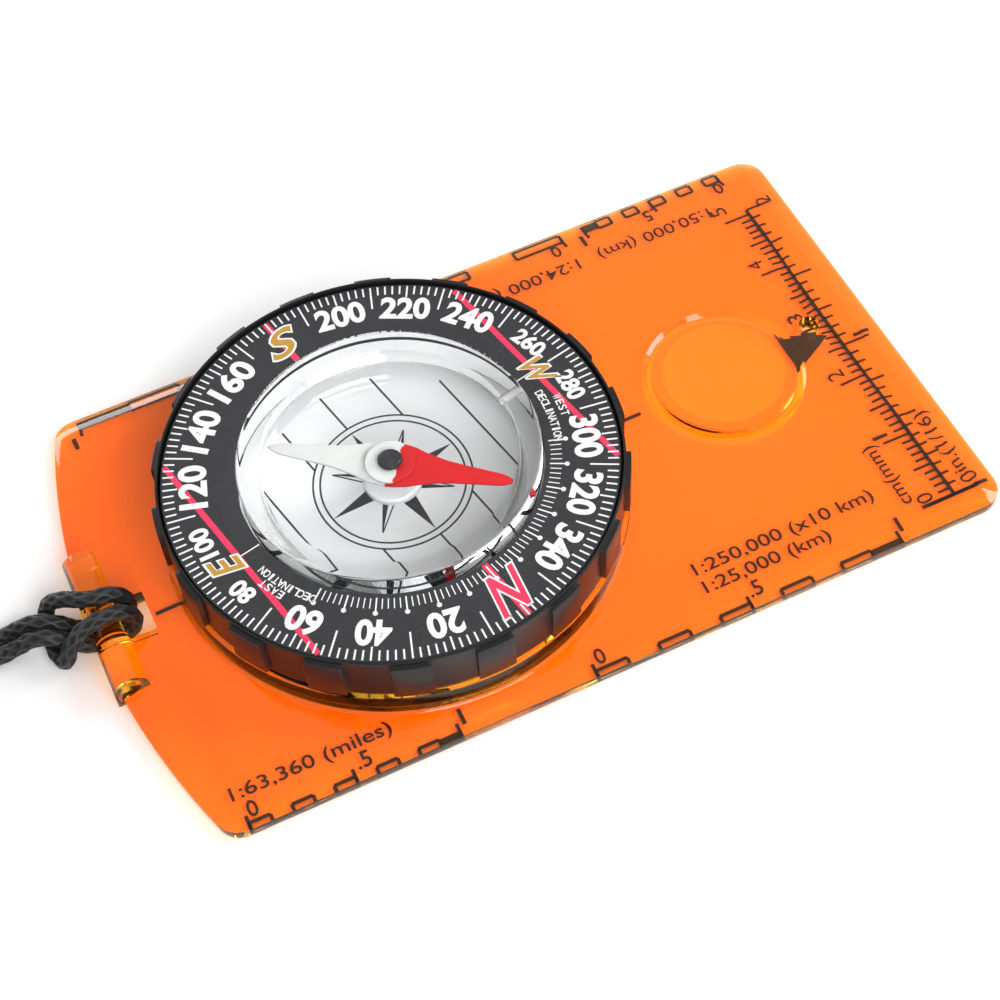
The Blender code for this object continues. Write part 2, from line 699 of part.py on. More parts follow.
def make_needle_blade():
    hole = arc(0.0, 0.0, HUB_NECK + GAP, 0.0, 360.0, TINY_STEPS)[:-1]
    mesh = flat_solid("needle_blade", [needle_outline(), hole], NEEDLE_THICK)
    move_mesh(mesh, z=(BLADE_BOTTOM + BLADE_TOP) / 2.0)
    return add_object("needle_blade", mesh, PARTS, NEEDLE_PAINT, NEEDLE_AXIS)


def make_needle_hub():
    foot = HUB_NECK + 2.0 * GAP
    return turned("needle_hub", [
        (HUB_RADIUS, HUB_TOP),
        (HUB_RADIUS, HUB_TOP - HUB_FLANGE),
        (HUB_NECK, HUB_TOP - HUB_FLANGE),
        (HUB_NECK, HUB_BOTTOM + HUB_FLANGE),
        (foot, HUB_BOTTOM + HUB_FLANGE),
        (foot, HUB_BOTTOM),
        (JEWEL_BORE, HUB_BOTTOM),
        (JEWEL_BORE, HUB_TOP),
    ], SMALL_STEPS, WHITE, NEEDLE_AXIS)


def make_jewel_cup():
    hollow = PIN_RADIUS + GAP
    return turned("jewel_cup", [
        (0.0, JEWEL_TOP),
        (JEWEL_RADIUS, JEWEL_TOP),
        (JEWEL_RADIUS, HUB_BOTTOM),
        (hollow, HUB_BOTTOM),
        (hollow, PIN_TIP - PIN_POINT + GAP),
        (0.0, JEWEL_HOLLOW_TOP),
    ], TINY_STEPS, JEWEL, NEEDLE_AXIS, closed=False)


def make_hub_cap():
    low = HUB_TOP + GAP
    high = CAP_HOLLOW_TOP + CAP_CROWN
    return turned("hub_cap", [
        (0.0, high),
        (CAP_RADIUS - CAP_CROWN, high),
        (CAP_RADIUS, high - CAP_CROWN),
        (CAP_RADIUS, low),
        (JEWEL_BORE, low),
        (JEWEL_BORE, CAP_HOLLOW_TOP),
        (0.0, CAP_HOLLOW_TOP),
    ], TINY_STEPS, BLACK, NEEDLE_AXIS, closed=False)


# ---------------------------------------------------------------- lanyard
def make_strand(name, route):
    points = [Vector(point) + Vector((BAR_X, 0.0, 0.0)) for point in route]
    return add_object(name, cord_solid(name, points, CORD_STEP), PARTS, CORD)


def make_lanyard_coil():
    inner = COIL_RADIUS - COIL_WIDTH / 2.0
    outer = COIL_RADIUS + COIL_WIDTH / 2.0
    low = COIL_LIFT
    high = COIL_LIFT + COIL_HEIGHT
    corner = CORD_DIAMETER / 4.0
    return turned("lanyard_coil", [
        (outer - corner, high),
        (outer, high - corner),
        (outer, low + corner),
        (outer - corner, low),
        (inner + corner, low),
        (inner, low + corner),
        (inner, high - corner),
        (inner + corner, high),
    ], SMALL_STEPS, CORD, COIL_AXIS)


def rectangle(width, height):
    x = width / 2.0
    y = height / 2.0
    return [(-x, -y), (x, -y), (x, y), (-x, y)]


def make_coil_tie():
    """A band once round the coil's turns."""
    inner = (COIL_WIDTH + 2.0 * GAP, COIL_HEIGHT + 2.0 * GAP)
    outer = (inner[0] + 2.0 * TIE_THICK, inner[1] + 2.0 * TIE_THICK)
    mesh = flat_solid("coil_tie", [rectangle(*outer), rectangle(*inner)], TIE_WIDTH)
    stand_across(mesh)
    move_mesh(mesh, x=COIL_RADIUS, z=COIL_LIFT + COIL_HEIGHT / 2.0)
    tie = add_object("coil_tie", mesh, PARTS, TIE, COIL_AXIS)
    tie.rotation_euler.z = math.radians(TIE_HEADING)
    return tie


def make_lanyard_knot():
    """The knot that joins the two free ends, lying against the inside of the coil."""
    cage = bmesh.new()
    bmesh.ops.create_uvsphere(cage, u_segments=20, v_segments=12, radius=1.0)
    bmesh.ops.scale(cage, vec=KNOT_SIZE, verts=cage.verts)
    free = COIL_RADIUS - COIL_WIDTH / 2.0 - GAP - KNOT_SIZE[1]
    bmesh.ops.translate(cage, vec=(0.0, free, KNOT_SIZE[2]), verts=cage.verts)
    mesh = bpy.data.meshes.new("lanyard_knot")
    cage.to_mesh(mesh)
    cage.free()
    mesh.shade_smooth()
    return add_object("lanyard_knot", mesh, PARTS, CORD, COIL_AXIS)


# ---------------------------------------------------------------- build
clear_scene()
PARTS = new_collection("baseplate_compass")
CUTTERS = new_collection("cutters")

ORANGE = principled("orange_acrylic", (1.0, 0.30, 0.02), 0.15, clear=0.6)
BLACK = principled("black_plastic", (0.02, 0.02, 0.02), 0.45)
DIAL_BLACK = principled("dial_black", (0.025, 0.025, 0.025), 0.6)
CLEAR = principled("clear_acrylic", (0.9, 0.92, 0.92), 0.05, clear=0.9)
SILICONE = principled("silicone", (0.75, 0.75, 0.72), 0.5)
WHITE = principled("white_plastic", (0.85, 0.85, 0.84), 0.4)
STEEL = principled("steel", (0.6, 0.6, 0.62), 0.3, metallic=1.0)
NEEDLE_PAINT = principled("needle_paint", (0.8, 0.05, 0.05), 0.35)
JEWEL = principled("jewel", (0.5, 0.05, 0.12), 0.1)
CORD = principled("black_cord", (0.015, 0.015, 0.015), 0.8)
TIE = principled("tie_rubber", (0.05, 0.05, 0.05), 0.6)

HOUSING_AXIS = add_axis("housing_axis", DIAL_X)
NEEDLE_AXIS = add_axis("needle_axis", 0.0, parent=HOUSING_AXIS)
NEEDLE_AXIS.rotation_euler.z = math.radians(NEEDLE_HEADING)
COIL_AXIS = add_axis("coil_axis", BAR_X + COIL_OFFSET[0], COIL_OFFSET[1])

make_baseplate()
make_grip_ring()
make_dial_ring()
make_capsule_dome()
make_fill_plug()
make_capsule_floor()
make_capsule_seal()
make_retaining_ring()
make_friction_washer()
make_pivot_seat()
make_pivot_pin()
make_needle_blade()
make_needle_hub()
make_jewel_cup()
make_hub_cap()
make_strand("lanyard_strand_a", STRAND_A_ROUTE)
make_strand("lanyard_strand_b", STRAND_B_ROUTE)
make_lanyard_coil()
make_coil_tie()
make_lanyard_knot()
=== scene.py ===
"""Looks for the clear orange baseplate compass: plate, print, housing, capsule, needle and cord."""
import math

import bmesh
import bpy
from mathutils import Matrix, Vector


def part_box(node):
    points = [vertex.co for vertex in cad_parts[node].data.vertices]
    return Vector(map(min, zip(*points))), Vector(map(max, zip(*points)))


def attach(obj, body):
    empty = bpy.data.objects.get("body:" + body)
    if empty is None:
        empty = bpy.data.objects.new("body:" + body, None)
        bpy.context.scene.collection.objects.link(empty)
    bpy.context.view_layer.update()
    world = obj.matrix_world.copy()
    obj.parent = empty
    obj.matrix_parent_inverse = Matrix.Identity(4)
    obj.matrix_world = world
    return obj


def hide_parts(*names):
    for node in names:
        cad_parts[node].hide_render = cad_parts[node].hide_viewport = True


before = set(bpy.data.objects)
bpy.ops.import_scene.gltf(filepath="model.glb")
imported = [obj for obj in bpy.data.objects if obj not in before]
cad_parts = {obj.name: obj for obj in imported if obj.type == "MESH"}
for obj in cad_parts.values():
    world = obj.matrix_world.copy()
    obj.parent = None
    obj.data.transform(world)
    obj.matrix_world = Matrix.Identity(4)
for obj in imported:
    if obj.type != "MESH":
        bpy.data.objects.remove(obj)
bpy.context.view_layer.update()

MM = 0.001


# ---------------- places read from the frame
def span(node):
    low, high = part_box(node)
    return Vector(low), Vector(high)


def middle(node):
    low, high = span(node)
    return (low + high) / 2.0


BLADE_LOW, BLADE_HIGH = span("needle_blade")

AXIS = Vector((middle("dial_ring").x, 0.0, 0.0))  # the axis that the dial and the needle turn about
DIAL_TOP = span("dial_ring")[1].z
PLATE_FRONT, PLATE_SIDE, _ = span("baseplate")[1]
PLATE_TOP = 2.2 * MM
LENS_MIDDLE = Vector((PLATE_FRONT - 21.2 * MM, 0.0, 0.0))
LENS_GROOVE = (9.05 * MM, 10.2 * MM)  # radii of the groove round the magnifier
BORDER = 2.6 * MM  # how far the sloping border reaches in
DIAL_NORTH = -77.96  # heading of the dial's north, degrees from +X
NEEDLE_HEADING = -36.6
LAND_HEADING = 11.2  # middle of one grip land
INK = 0.02 * MM  # height of printing above its surface
BURIED = 0.05 * MM  # printing inside the plate, above its underside


# ---------------- camera
LENS_LENGTH = 72.79
SENSOR_WIDTH = 36.0
CAMERA_PLACE = Vector((-0.03773, -0.13208, 0.20165))  # from the dial's axis, on the table
CAMERA_FORWARD = Vector((0.2032, 0.5273, -0.8250))
CAMERA_UP = Vector((0.3755, 0.7362, 0.5630))


def aim_camera():
    camera = bpy.data.objects.new("camera", bpy.data.cameras.new("camera"))
    bpy.context.scene.collection.objects.link(camera)
    bpy.context.scene.camera = camera
    camera.data.lens = LENS_LENGTH
    camera.data.sensor_width = SENSOR_WIDTH
    camera.data.clip_start = 0.01
    forward = CAMERA_FORWARD.normalized()
    up = CAMERA_UP.normalized()
    right = forward.cross(up).normalized()
    up = right.cross(forward)
    turn = Matrix((right, up, -forward)).transposed().to_4x4()
    camera.matrix_world = Matrix.Translation(AXIS + CAMERA_PLACE) @ turn


aim_camera()


# ---------------- shader recipes
class Wire:
    """A shader socket that Python maths can be done on; each operation adds its Math node."""

    def __init__(self, recipe, socket):
        self.recipe = recipe
        self.socket = socket

    def maths(self, operation, first, second):
        return self.recipe.node("ShaderNodeMath", {"operation": operation}, {0: first, 1: second})

    def __add__(self, other):
        return self.maths("ADD", self, other)

    def __radd__(self, other):
        return self.maths("ADD", other, self)

    def __sub__(self, other):
        return self.maths("SUBTRACT", self, other)

    def __rsub__(self, other):
        return self.maths("SUBTRACT", other, self)

    def __mul__(self, other):
        return self.maths("MULTIPLY", self, other)

    def __rmul__(self, other):
        return self.maths("MULTIPLY", other, self)

    def __truediv__(self, other):
        return self.maths("DIVIDE", self, other)

    def __gt__(self, other):
        return self.maths("GREATER_THAN", self, other)

    def __lt__(self, other):
        return self.maths("LESS_THAN", self, other)

    def sine(self):
        return self.maths("SINE", self, 0.0)

    def power(self, exponent):
        return self.maths("POWER", self, exponent)

    def size(self):
        return self.maths("ABSOLUTE", self, 0.0)

    def or_higher(self, other):
        return self.maths("MAXIMUM", self, other)

    def clamp(self):
        return self.recipe.node("ShaderNodeClamp", {}, {"Value": self})


class Recipe:
    """One material and the nodes that make it."""

    def __init__(self, name):
        self.material = bpy.data.materials.new(name)
        self.material.use_nodes = True
        self.tree = self.material.node_tree
        self.tree.nodes.clear()

    def node(self, kind, settings, inputs, output=0):
        made = self.tree.nodes.new(kind)
        for key, value in settings.items():
            setattr(made, key, value)
        for key, value in inputs.items():
            if isinstance(value, Wire):
                self.tree.links.new(value.socket, made.inputs[key])
            else:
                made.inputs[key].default_value = value
        return Wire(self, made.outputs[output]) if made.outputs else None

    def place(self):
        return self.node("ShaderNodeTexCoord", {}, {}, "Object")

    def parts_of(self, vector):
        made = self.node("ShaderNodeSeparateXYZ", {}, {0: vector}).socket.node
        return [Wire(self, socket) for socket in made.outputs]

    def noise(self, scale, detail=4.0, roughness=0.6, stretch=(1.0, 1.0, 1.0)):
        where = self.node("ShaderNodeMapping", {}, {"Vector": self.place(), "Scale": stretch})
        return self.node("ShaderNodeTexNoise", {}, {
            "Vector": where, "Scale": scale, "Detail": detail, "Roughness": roughness})

    def between(self, factor, first, second):
        """A colour between two, by the factor."""
        return self.node("ShaderNodeMix", {"data_type": "RGBA"}, {
            0: factor, 6: colour4(first), 7: colour4(second)}, 2)

    def bump(self, height, distance, strength=1.0):
        return self.node("ShaderNodeBump", {}, {
            "Height": height, "Distance": distance, "Strength": strength})

    def surface(self, **inputs):
        named = {key.replace("_", " "): value for key, value in inputs.items()}
        return self.node("ShaderNodeBsdfPrincipled", {}, named)

    def finish(self, shader):
        self.node("ShaderNodeOutputMaterial", {}, {"Surface": shader})
        return self.material

    def let_lamps_through(self, shader, tint):
        """Clear plastic that light reaches through: rays from lamps pass it, tinted."""
        clear = self.node("ShaderNodeBsdfTransparent", {}, {"Color": colour4(tint)})
        shadow = self.node("ShaderNodeLightPath", {}, {}, "Is Shadow Ray")
        return self.node("ShaderNodeMixShader", {}, {0: shadow, 1: shader, 2: clear})


def colour4(colour):
    return colour if isinstance(colour, Wire) else (*colour, 1.0)


# ---------------- finishes
def orange_acrylic():
    """Clear orange sheet, a little scuffed, with painted edge glow: paler at its borders, the lens groove
    and the collar.
    """
    recipe = Recipe("orange_acrylic")
    x, y, z = recipe.parts_of(recipe.place())
    scuffs = recipe.noise(900.0, 6.0, 0.7, (1.0, 6.0, 1.0))
    smears = recipe.noise(60.0, 3.0)
    depth = recipe.noise(25.0, 2.0)
    from_lens = ((x - LENS_MIDDLE.x).power(2.0) + y.power(2.0)).power(0.5)
    groove = (from_lens > LENS_GROOVE[0]) * (from_lens < LENS_GROOVE[1])
    side_border = ((y.size() - (PLATE_SIDE - BORDER)) / BORDER).clamp()
    front_border = ((x - (PLATE_FRONT - BORDER)) / BORDER).clamp()
    collar = z > PLATE_TOP + 0.2 * MM
    # painted edge glow: the sheet is painted paler and yellower at its borders, lens groove and collar,
    # standing in for light glowing through the acrylic there
    thin_and_painted_glow = (0.62 * groove + 0.45 * side_border + 0.45 * front_border + 0.7 * collar).clamp()
    sheet = recipe.between((depth - 0.35) * 1.6, (1.0, 0.385, 0.026), (1.0, 0.355, 0.018))
    body = recipe.between(thin_and_painted_glow, sheet, (1.0, 0.60, 0.05))
    rough = 0.035 + 0.05 * (smears - 0.4).clamp() + 0.16 * (scuffs - 0.66).clamp()
    grain = recipe.bump(scuffs, 0.01 * MM, 0.15)
    shell = recipe.surface(Base_Color=body, Roughness=rough, Normal=grain, IOR=1.49,
                           Transmission_Weight=1.0)
    return recipe.finish(recipe.let_lamps_through(shell, (1.0, 0.54, 0.12)))


def clear_acrylic(name, ior):
    """Clear capsule plastic with faint smears and hair scratches; ior is that of the face it meets."""
    recipe = Recipe(name)
    smears = recipe.noise(180.0, 4.0)
    hairs = recipe.noise(700.0, 5.0, 0.7, (1.0, 9.0, 1.0))
    shell = recipe.surface(Base_Color=(0.985, 0.992, 0.992, 1.0), IOR=ior, Transmission_Weight=1.0,
                           Roughness=0.02 * (smears - 0.45).clamp() + 0.05 * (hairs - 0.7).clamp())
    return recipe.finish(recipe.let_lamps_through(shell, (0.96, 0.97, 0.97)))


def housing_plastic():
    """Black moulded grip plastic: satin, finely pitted, with pale rub marks."""
    recipe = Recipe("housing_black")
    pits = recipe.noise(2600.0, 3.0)
    clouds = recipe.noise(140.0, 4.0)
    rubs = recipe.noise(420.0, 6.0, 0.75, (1.0, 1.0, 4.0))
    worn = ((rubs - 0.62) * 5.0).clamp()
    base = recipe.between(clouds, (0.0035, 0.0035, 0.004), (0.008, 0.008, 0.009))
    body = recipe.between(worn * 0.3, base, (0.045, 0.045, 0.047))
    return recipe.finish(recipe.surface(
        Base_Color=body, Roughness=0.27 + 0.16 * clouds + 0.15 * worn,
        Normal=recipe.bump(pits + 0.6 * rubs, 0.02 * MM, 0.35), Specular_IOR_Level=0.4))


def dial_black():
    """Matt black printing ground with a fine pale speckle."""
    recipe = Recipe("dial_black")
    speckle = recipe.noise(5200.0, 2.0)
    clouds = recipe.noise(260.0, 4.0)
    specks = ((speckle - 0.56) * 6.0).clamp()
    base = recipe.between(clouds, (0.014, 0.014, 0.016), (0.024, 0.024, 0.027))
    body = recipe.between(specks * 0.5, base, (0.075, 0.075, 0.085))
    return recipe.finish(recipe.surface(
        Base_Color=body, Roughness=0.55 + 0.2 * speckle,
        Normal=recipe.bump(speckle, 0.012 * MM, 0.5)))


def ink(name, colour, worn_colour, rough):
    """Screen-printed ink, slightly uneven in tone and surface."""
    recipe = Recipe(name)
    tone = recipe.noise(1300.0, 4.0)
    thin_and_painted_glow = ((recipe.noise(3800.0, 3.0) - 0.6) * 4.0).clamp()
    body = recipe.between(0.55 * tone + 0.35 * thin_and_painted_glow, colour, worn_colour)
    return recipe.finish(recipe.surface(
        Base_Color=body, Roughness=rough + 0.15 * tone,
        Normal=recipe.bump(tone, 0.008 * MM, 0.4)))


def enamel(name, colour, deep_colour):
    """Brushed-on enamel on the needle, thicker in places."""
    recipe = Recipe(name)
    flow = recipe.noise(320.0, 3.0, 0.5, (1.0, 3.0, 1.0))
    grain = recipe.noise(1500.0, 2.0)
    body = recipe.between(flow, colour, deep_colour)
    return recipe.finish(recipe.surface(
        Base_Color=body, Roughness=0.3 + 0.2 * flow, Specular_IOR_Level=0.25,
        Normal=recipe.bump(flow + 0.3 * grain, 0.03 * MM, 0.4)))


def moulded_white(name, colour, shade, through):
    """White or milky moulded plastic."""
    recipe = Recipe(name)
    clouds = recipe.noise(500.0, 4.0)
    body = recipe.between(clouds, colour, shade)
    return recipe.finish(recipe.surface(
        Base_Color=body, Roughness=0.28 + 0.15 * clouds, Subsurface_Weight=through,
        Subsurface_Radius=(0.8 * MM, 0.8 * MM, 0.8 * MM), Subsurface_Scale=1.0,
        Normal=recipe.bump(clouds, 0.01 * MM, 0.3)))


def gloss_black():
    """Polished black cap."""
    recipe = Recipe("gloss_black")
    clouds = recipe.noise(900.0, 4.0)
    body = recipe.between(clouds, (0.006, 0.006, 0.008), (0.02, 0.02, 0.024))
    return recipe.finish(recipe.surface(
        Base_Color=body, Roughness=0.12 + 0.12 * clouds,
        Normal=recipe.bump(clouds, 0.01 * MM, 0.3)))


def ground_steel(name, colour):
    """Steel with fine grinding lines."""
    recipe = Recipe(name)
    lines = recipe.noise(1500.0, 4.0, 0.6, (1.0, 1.0, 0.08))
    body = recipe.between(lines, colour, tuple(0.75 * c for c in colour))
    return recipe.finish(recipe.surface(
        Base_Color=body, Metallic=1.0, Roughness=0.22 + 0.25 * lines,
        Normal=recipe.bump(lines, 0.004 * MM, 0.5)))


def jewel_red():
    """Polished red bearing jewel."""
    recipe = Recipe("jewel_red")
    clouds = recipe.noise(1800.0, 2.0)
    body = recipe.between(clouds, (0.42, 0.02, 0.07), (0.30, 0.01, 0.04))
    return recipe.finish(recipe.surface(Base_Color=body, Roughness=0.06 + 0.05 * clouds, Coat_Weight=0.6))


def soft_rubber(name, colour, pale):
    """Dull rubber with paler clouds."""
    recipe = Recipe(name)
    clouds = recipe.noise(700.0, 5.0)
    body = recipe.between(clouds, colour, pale)
    return recipe.finish(recipe.surface(
        Base_Color=body, Roughness=0.5 + 0.25 * clouds,
        Normal=recipe.bump(clouds, 0.02 * MM, 0.5)))


BRAID_TWIST = 0.85  # turns of a yarn for each cord diameter along
BRAID_STRANDS = 5.0  # yarns that run each way


def braided_cord():
    """Black braid: the tube's UVs run along it and round it, and its yarns cross in both directions."""
    recipe = Recipe("braided_cord")
    along, around, _ = recipe.parts_of(recipe.node("ShaderNodeUVMap", {"uv_map": "lay"}, {}))
    fibre = recipe.node("ShaderNodeTexNoise", {}, {
        "Vector": recipe.node("ShaderNodeCombineXYZ", {}, {0: along * 3.0, 1: around * 90.0}),
        "Scale": 3.0, "Detail": 4.0, "Roughness": 0.7})
    tufts = recipe.noise(1500.0, 3.0)
    one_way = ((along * BRAID_TWIST + around * BRAID_STRANDS) * math.tau).sine()
    other_way = ((along * BRAID_TWIST - around * BRAID_STRANDS) * math.tau).sine()
    crest = (one_way.or_higher(other_way) * 0.8 + 0.2).clamp()
    # painted shade: the valleys between the yarns are painted near black and their crests lighter, on top
    # of the relief that the tube and bump already give
    body = recipe.between(crest * (0.4 + fibre) + 0.1 * tufts,
                          (0.0006, 0.0006, 0.0008), (0.017, 0.017, 0.019))
    return recipe.finish(recipe.surface(
        Base_Color=body, Roughness=0.62 - 0.34 * crest + 0.15 * fibre,
        Normal=recipe.bump(crest + 0.5 * fibre, 0.07 * MM, 0.9)))


def pale_table():
    recipe = Recipe("pale_table")
    clouds = recipe.noise(30.0, 3.0)
    body = recipe.between(clouds, (0.93, 0.93, 0.93), (0.915, 0.915, 0.915))
    return recipe.finish(recipe.surface(Base_Color=body, Roughness=0.7 + 0.1 * clouds))


# ---------------- the cord, on the routes of its solids
CORD_DIAMETER = 2.0 * MM
CORD_RADIUS = CORD_DIAMETER / 2.0
BAR = AXIS + Vector((-36.9 * MM, 0.0, 0.0))  # middle of the lanyard bar, on the table
LAID = 1.0  # height of a cord's middle on the table, in mm
# each strand's way in mm from the middle of the bar, from the coil to the hitch
STRAND_A_ROUTE = (
    (-28.2, 4.2, LAID), (-24.0, 4.6, LAID), (-19.0, 5.0, LAID), (-14.5, 5.1, LAID), (-11.4, 5.0, 1.1),
    (-9.7, 4.6, 1.9), (-8.0, 3.9, 3.05), (-6.3, 3.2, 3.35), (-4.7, 2.5, 2.75), (-3.2, 1.9, 1.6),
    (-1.6, 1.45, LAID), (0.2, 1.35, LAID), (1.8, 1.4, LAID), (2.95, 1.4, 1.75), (3.4, 1.4, 3.2),
    (2.9, 1.5, 4.75), (1.6, 1.7, 5.8), (-0.1, 1.85, 6.0), (-1.8, 2.7, 5.7), (-3.4, 4.1, 4.9),
    (-4.7, 5.2, 3.6), (-5.4, 5.7, 2.2), (-6.0, 5.2, 1.1), (-6.3, 3.9, LAID), (-6.4, 2.1, LAID),
)
STRAND_B_ROUTE = (
    (-25.1, 2.1, LAID), (-21.5, 2.3, LAID), (-17.5, 2.5, LAID), (-14.0, 2.6, LAID), (-11.6, 2.6, 1.1),
    (-9.9, 2.3, 1.9), (-8.2, 1.7, 3.05), (-6.5, 0.9, 3.35), (-4.9, 0.2, 2.75), (-3.3, -0.5, 1.6),
    (-1.6, -0.9, LAID), (0.2, -0.97, LAID), (1.8, -0.95, LAID), (2.95, -0.95, 1.75), (3.4, -0.95, 3.2),
    (2.9, -0.95, 4.6), (1.6, -0.9, 5.5), (-0.1, -0.9, 5.6), (-1.8, -1.0, 5.4), (-3.3, -1.3, 4.8),
    (-4.7, -1.8, 3.6), (-5.5, -2.1, 2.2), (-6.0, -1.3, 1.1), (-6.3, 0.0, LAID), (-6.4, 1.9, LAID),
)
COIL = middle("lanyard_coil")
COIL_LIFT = span("lanyard_coil")[0].z
COIL_RADIUS = 11.0 * MM
LANE = CORD_DIAMETER + 0.06 * MM  # from one turn to the one beside it
LAYER = CORD_DIAMETER - 0.02 * MM  # from one turn to the one above it
COIL_STEPS = 40  # points in a turn
EASE_FROM = 0.72  # share of a turn after which it moves to the next
PATH_STEP = 0.27 * MM
CURVE_STEPS = 12  # points between two of a route
YARN_RELIEF = 0.17  # share of the cord's radius
YARN_VALLEY = 0.84


def coil_lanes(inner_lane_first):
    """Radius and height of each turn, from the table up: the pair is wound in, up, out, up and in."""
    lane = [COIL_RADIUS + LANE * (k - 1.5) for k in range(4)]
    shift = 0 if inner_lane_first else 1
    row = [COIL_LIFT + CORD_RADIUS + k * LAYER for k in range(3)]
    return [
        (lane[2 + shift], row[0]), (lane[shift], row[0]), (lane[shift], row[1]),
        (lane[3 - shift], row[1]), (lane[3 - shift], row[2]), (lane[1 - shift], row[2]),
    ]


def coil_path(lanes):
    """Points round the coil, counterclockwise from its far side, easing from each turn to the next."""
    points = []
    for turn, (radius, height) in enumerate(lanes):
        ahead = lanes[turn + 1] if turn + 1 < len(lanes) else (radius, height)
        for k in range(COIL_STEPS):
            ease = max(0.0, (k / COIL_STEPS - EASE_FROM) / (1.0 - EASE_FROM))
            ease = ease * ease * (3.0 - 2.0 * ease)
            angle = math.pi / 2.0 + math.tau * k / COIL_STEPS
            r = radius + (ahead[0] - radius) * ease
            z = height + (ahead[1] - height) * ease
            points.append(Vector((COIL.x + r * math.cos(angle), COIL.y + r * math.sin(angle), z)))
    return points


def smooth_path(route, step):
    """Evenly spaced points on a smooth curve through the route."""
    ends = [2.0 * route[0] - route[1]] + list(route) + [2.0 * route[-1] - route[-2]]
    fine = []
    for before, start, end, after in zip(ends, ends[1:], ends[2:], ends[3:]):
        for k in range(CURVE_STEPS):
            t = k / CURVE_STEPS
            fine.append(0.5 * (2.0 * start + (end - before) * t
                               + (2.0 * before - 5.0 * start + 4.0 * end - after) * t * t
                               + (3.0 * start - 3.0 * end + after - before) * t ** 3))
    fine.append(route[-1])
    points = [fine[0]]
    travelled = 0.0
    for a, b in zip(fine, fine[1:]):
        travelled += (b - a).length
        while travelled >= step * len(points):
            back = travelled - step * len(points)
            points.append(b + (a - b) * (back / max((b - a).length, 1e-9)))
    return points


def braided_tube(name, points, radius, sides=28, closed=False):
    """A tube along the points whose skin rises and falls with the braid, with UVs along and round it."""
    relief = YARN_RELIEF * radius
    cage = bmesh.new()
    lay = cage.loops.layers.uv.new("lay")
    rings = []
    along = 0.0
    distances = []
    side = None
    count = len(points)
    for i, point in enumerate(points):
        if closed:
            ahead = points[(i + 1) % count] - points[i - 1]
        else:
            ahead = points[min(i + 1, count - 1)] - points[max(i - 1, 0)]
        ahead.normalize()
        if side is None:
            side = ahead.orthogonal().normalized()
        side = (side - ahead * side.dot(ahead)).normalized()
        across = ahead.cross(side)
        if i:
            along += (point - points[i - 1]).length / (2.0 * radius)
        distances.append(along)
        ring = []
        for k in range(sides):
            turn = k / sides
            one = math.sin(math.tau * (along * BRAID_TWIST + turn * BRAID_STRANDS))
            other = math.sin(math.tau * (along * BRAID_TWIST - turn * BRAID_STRANDS))
            bulge = radius * YARN_VALLEY + relief * (max(one, other) + 0.2 * one * other)
            angle = math.tau * turn
            ring.append(cage.verts.new(point + bulge * (math.cos(angle) * side + math.sin(angle) * across)))
        rings.append(ring)
    pairs = list(zip(range(count - 1), range(1, count)))
    if closed:
        pairs.append((count - 1, 0))
    for i, j in pairs:
        start = distances[i]
        end = distances[j] if j else distances[i] + (distances[1] - distances[0])
        for k in range(sides):
            n = (k + 1) % sides
            face = cage.faces.new((rings[i][k], rings[i][n], rings[j][n], rings[j][k]))
            face.smooth = True
            for loop, uv in zip(face.loops, ((start, k), (start, k + 1), (end, k + 1), (end, k))):
                loop[lay].uv = (uv[0], uv[1] / sides)
    if not closed:
        cage.faces.new(list(reversed(rings[0])))
        cage.faces.new(rings[-1])
    bmesh.ops.recalc_face_normals(cage, faces=cage.faces)
    mesh = bpy.data.meshes.new(name)
    cage.to_mesh(mesh)
    cage.free()
    piece = bpy.data.objects.new(name, mesh)
    bpy.context.scene.collection.objects.link(piece)
    return piece


CORD_BLACK = braided_cord()
KNOT = middle("lanyard_knot")
KNOT_STEPS = 150
KNOT_SCALE = (0.98, 0.76, 1.15)  # of its lobes in x, y and z, in mm
KNOT_SHIFT = 0.35  # brings the lobes' middle to the knot's middle, mm


def lay_strand(name, route, inner_lane_first, turns_kept, into_knot):
    """One strand from the tied loop at the bar, along the table, round the coil and into the knot."""
    lead = [BAR + Vector(point) * MM for point in reversed(route)]
    turns = coil_path(coil_lanes(inner_lane_first))[1:turns_kept]
    crossing = [lead[-1].lerp(turns[0], k / 4.0) for k in (1, 2, 3)]
    knot = [KNOT + Vector(point) * MM for point in into_knot]
    points = smooth_path(lead + crossing + turns + knot, PATH_STEP)
    strand = braided_tube(name, points, CORD_RADIUS)
    strand.data.materials.append(CORD_BLACK)
    return strand, points


def tie_knot():
    """The overhand knot that joins the two free ends: one closed, three-lobed turn of cord."""
    points = []
    across, along, high = KNOT_SCALE
    for k in range(KNOT_STEPS):
        t = math.tau * k / KNOT_STEPS
        points.append(KNOT + Vector((across * (math.sin(t) + 2.0 * math.sin(2.0 * t)),
                                     along * (math.cos(t) - 2.0 * math.cos(2.0 * t)) - KNOT_SHIFT,
                                     -high * math.sin(3.0 * t))) * MM)
    knot = braided_tube("knot", points, CORD_RADIUS, sides=24, closed=True)
    knot.data.materials.append(CORD_BLACK)
    return knot


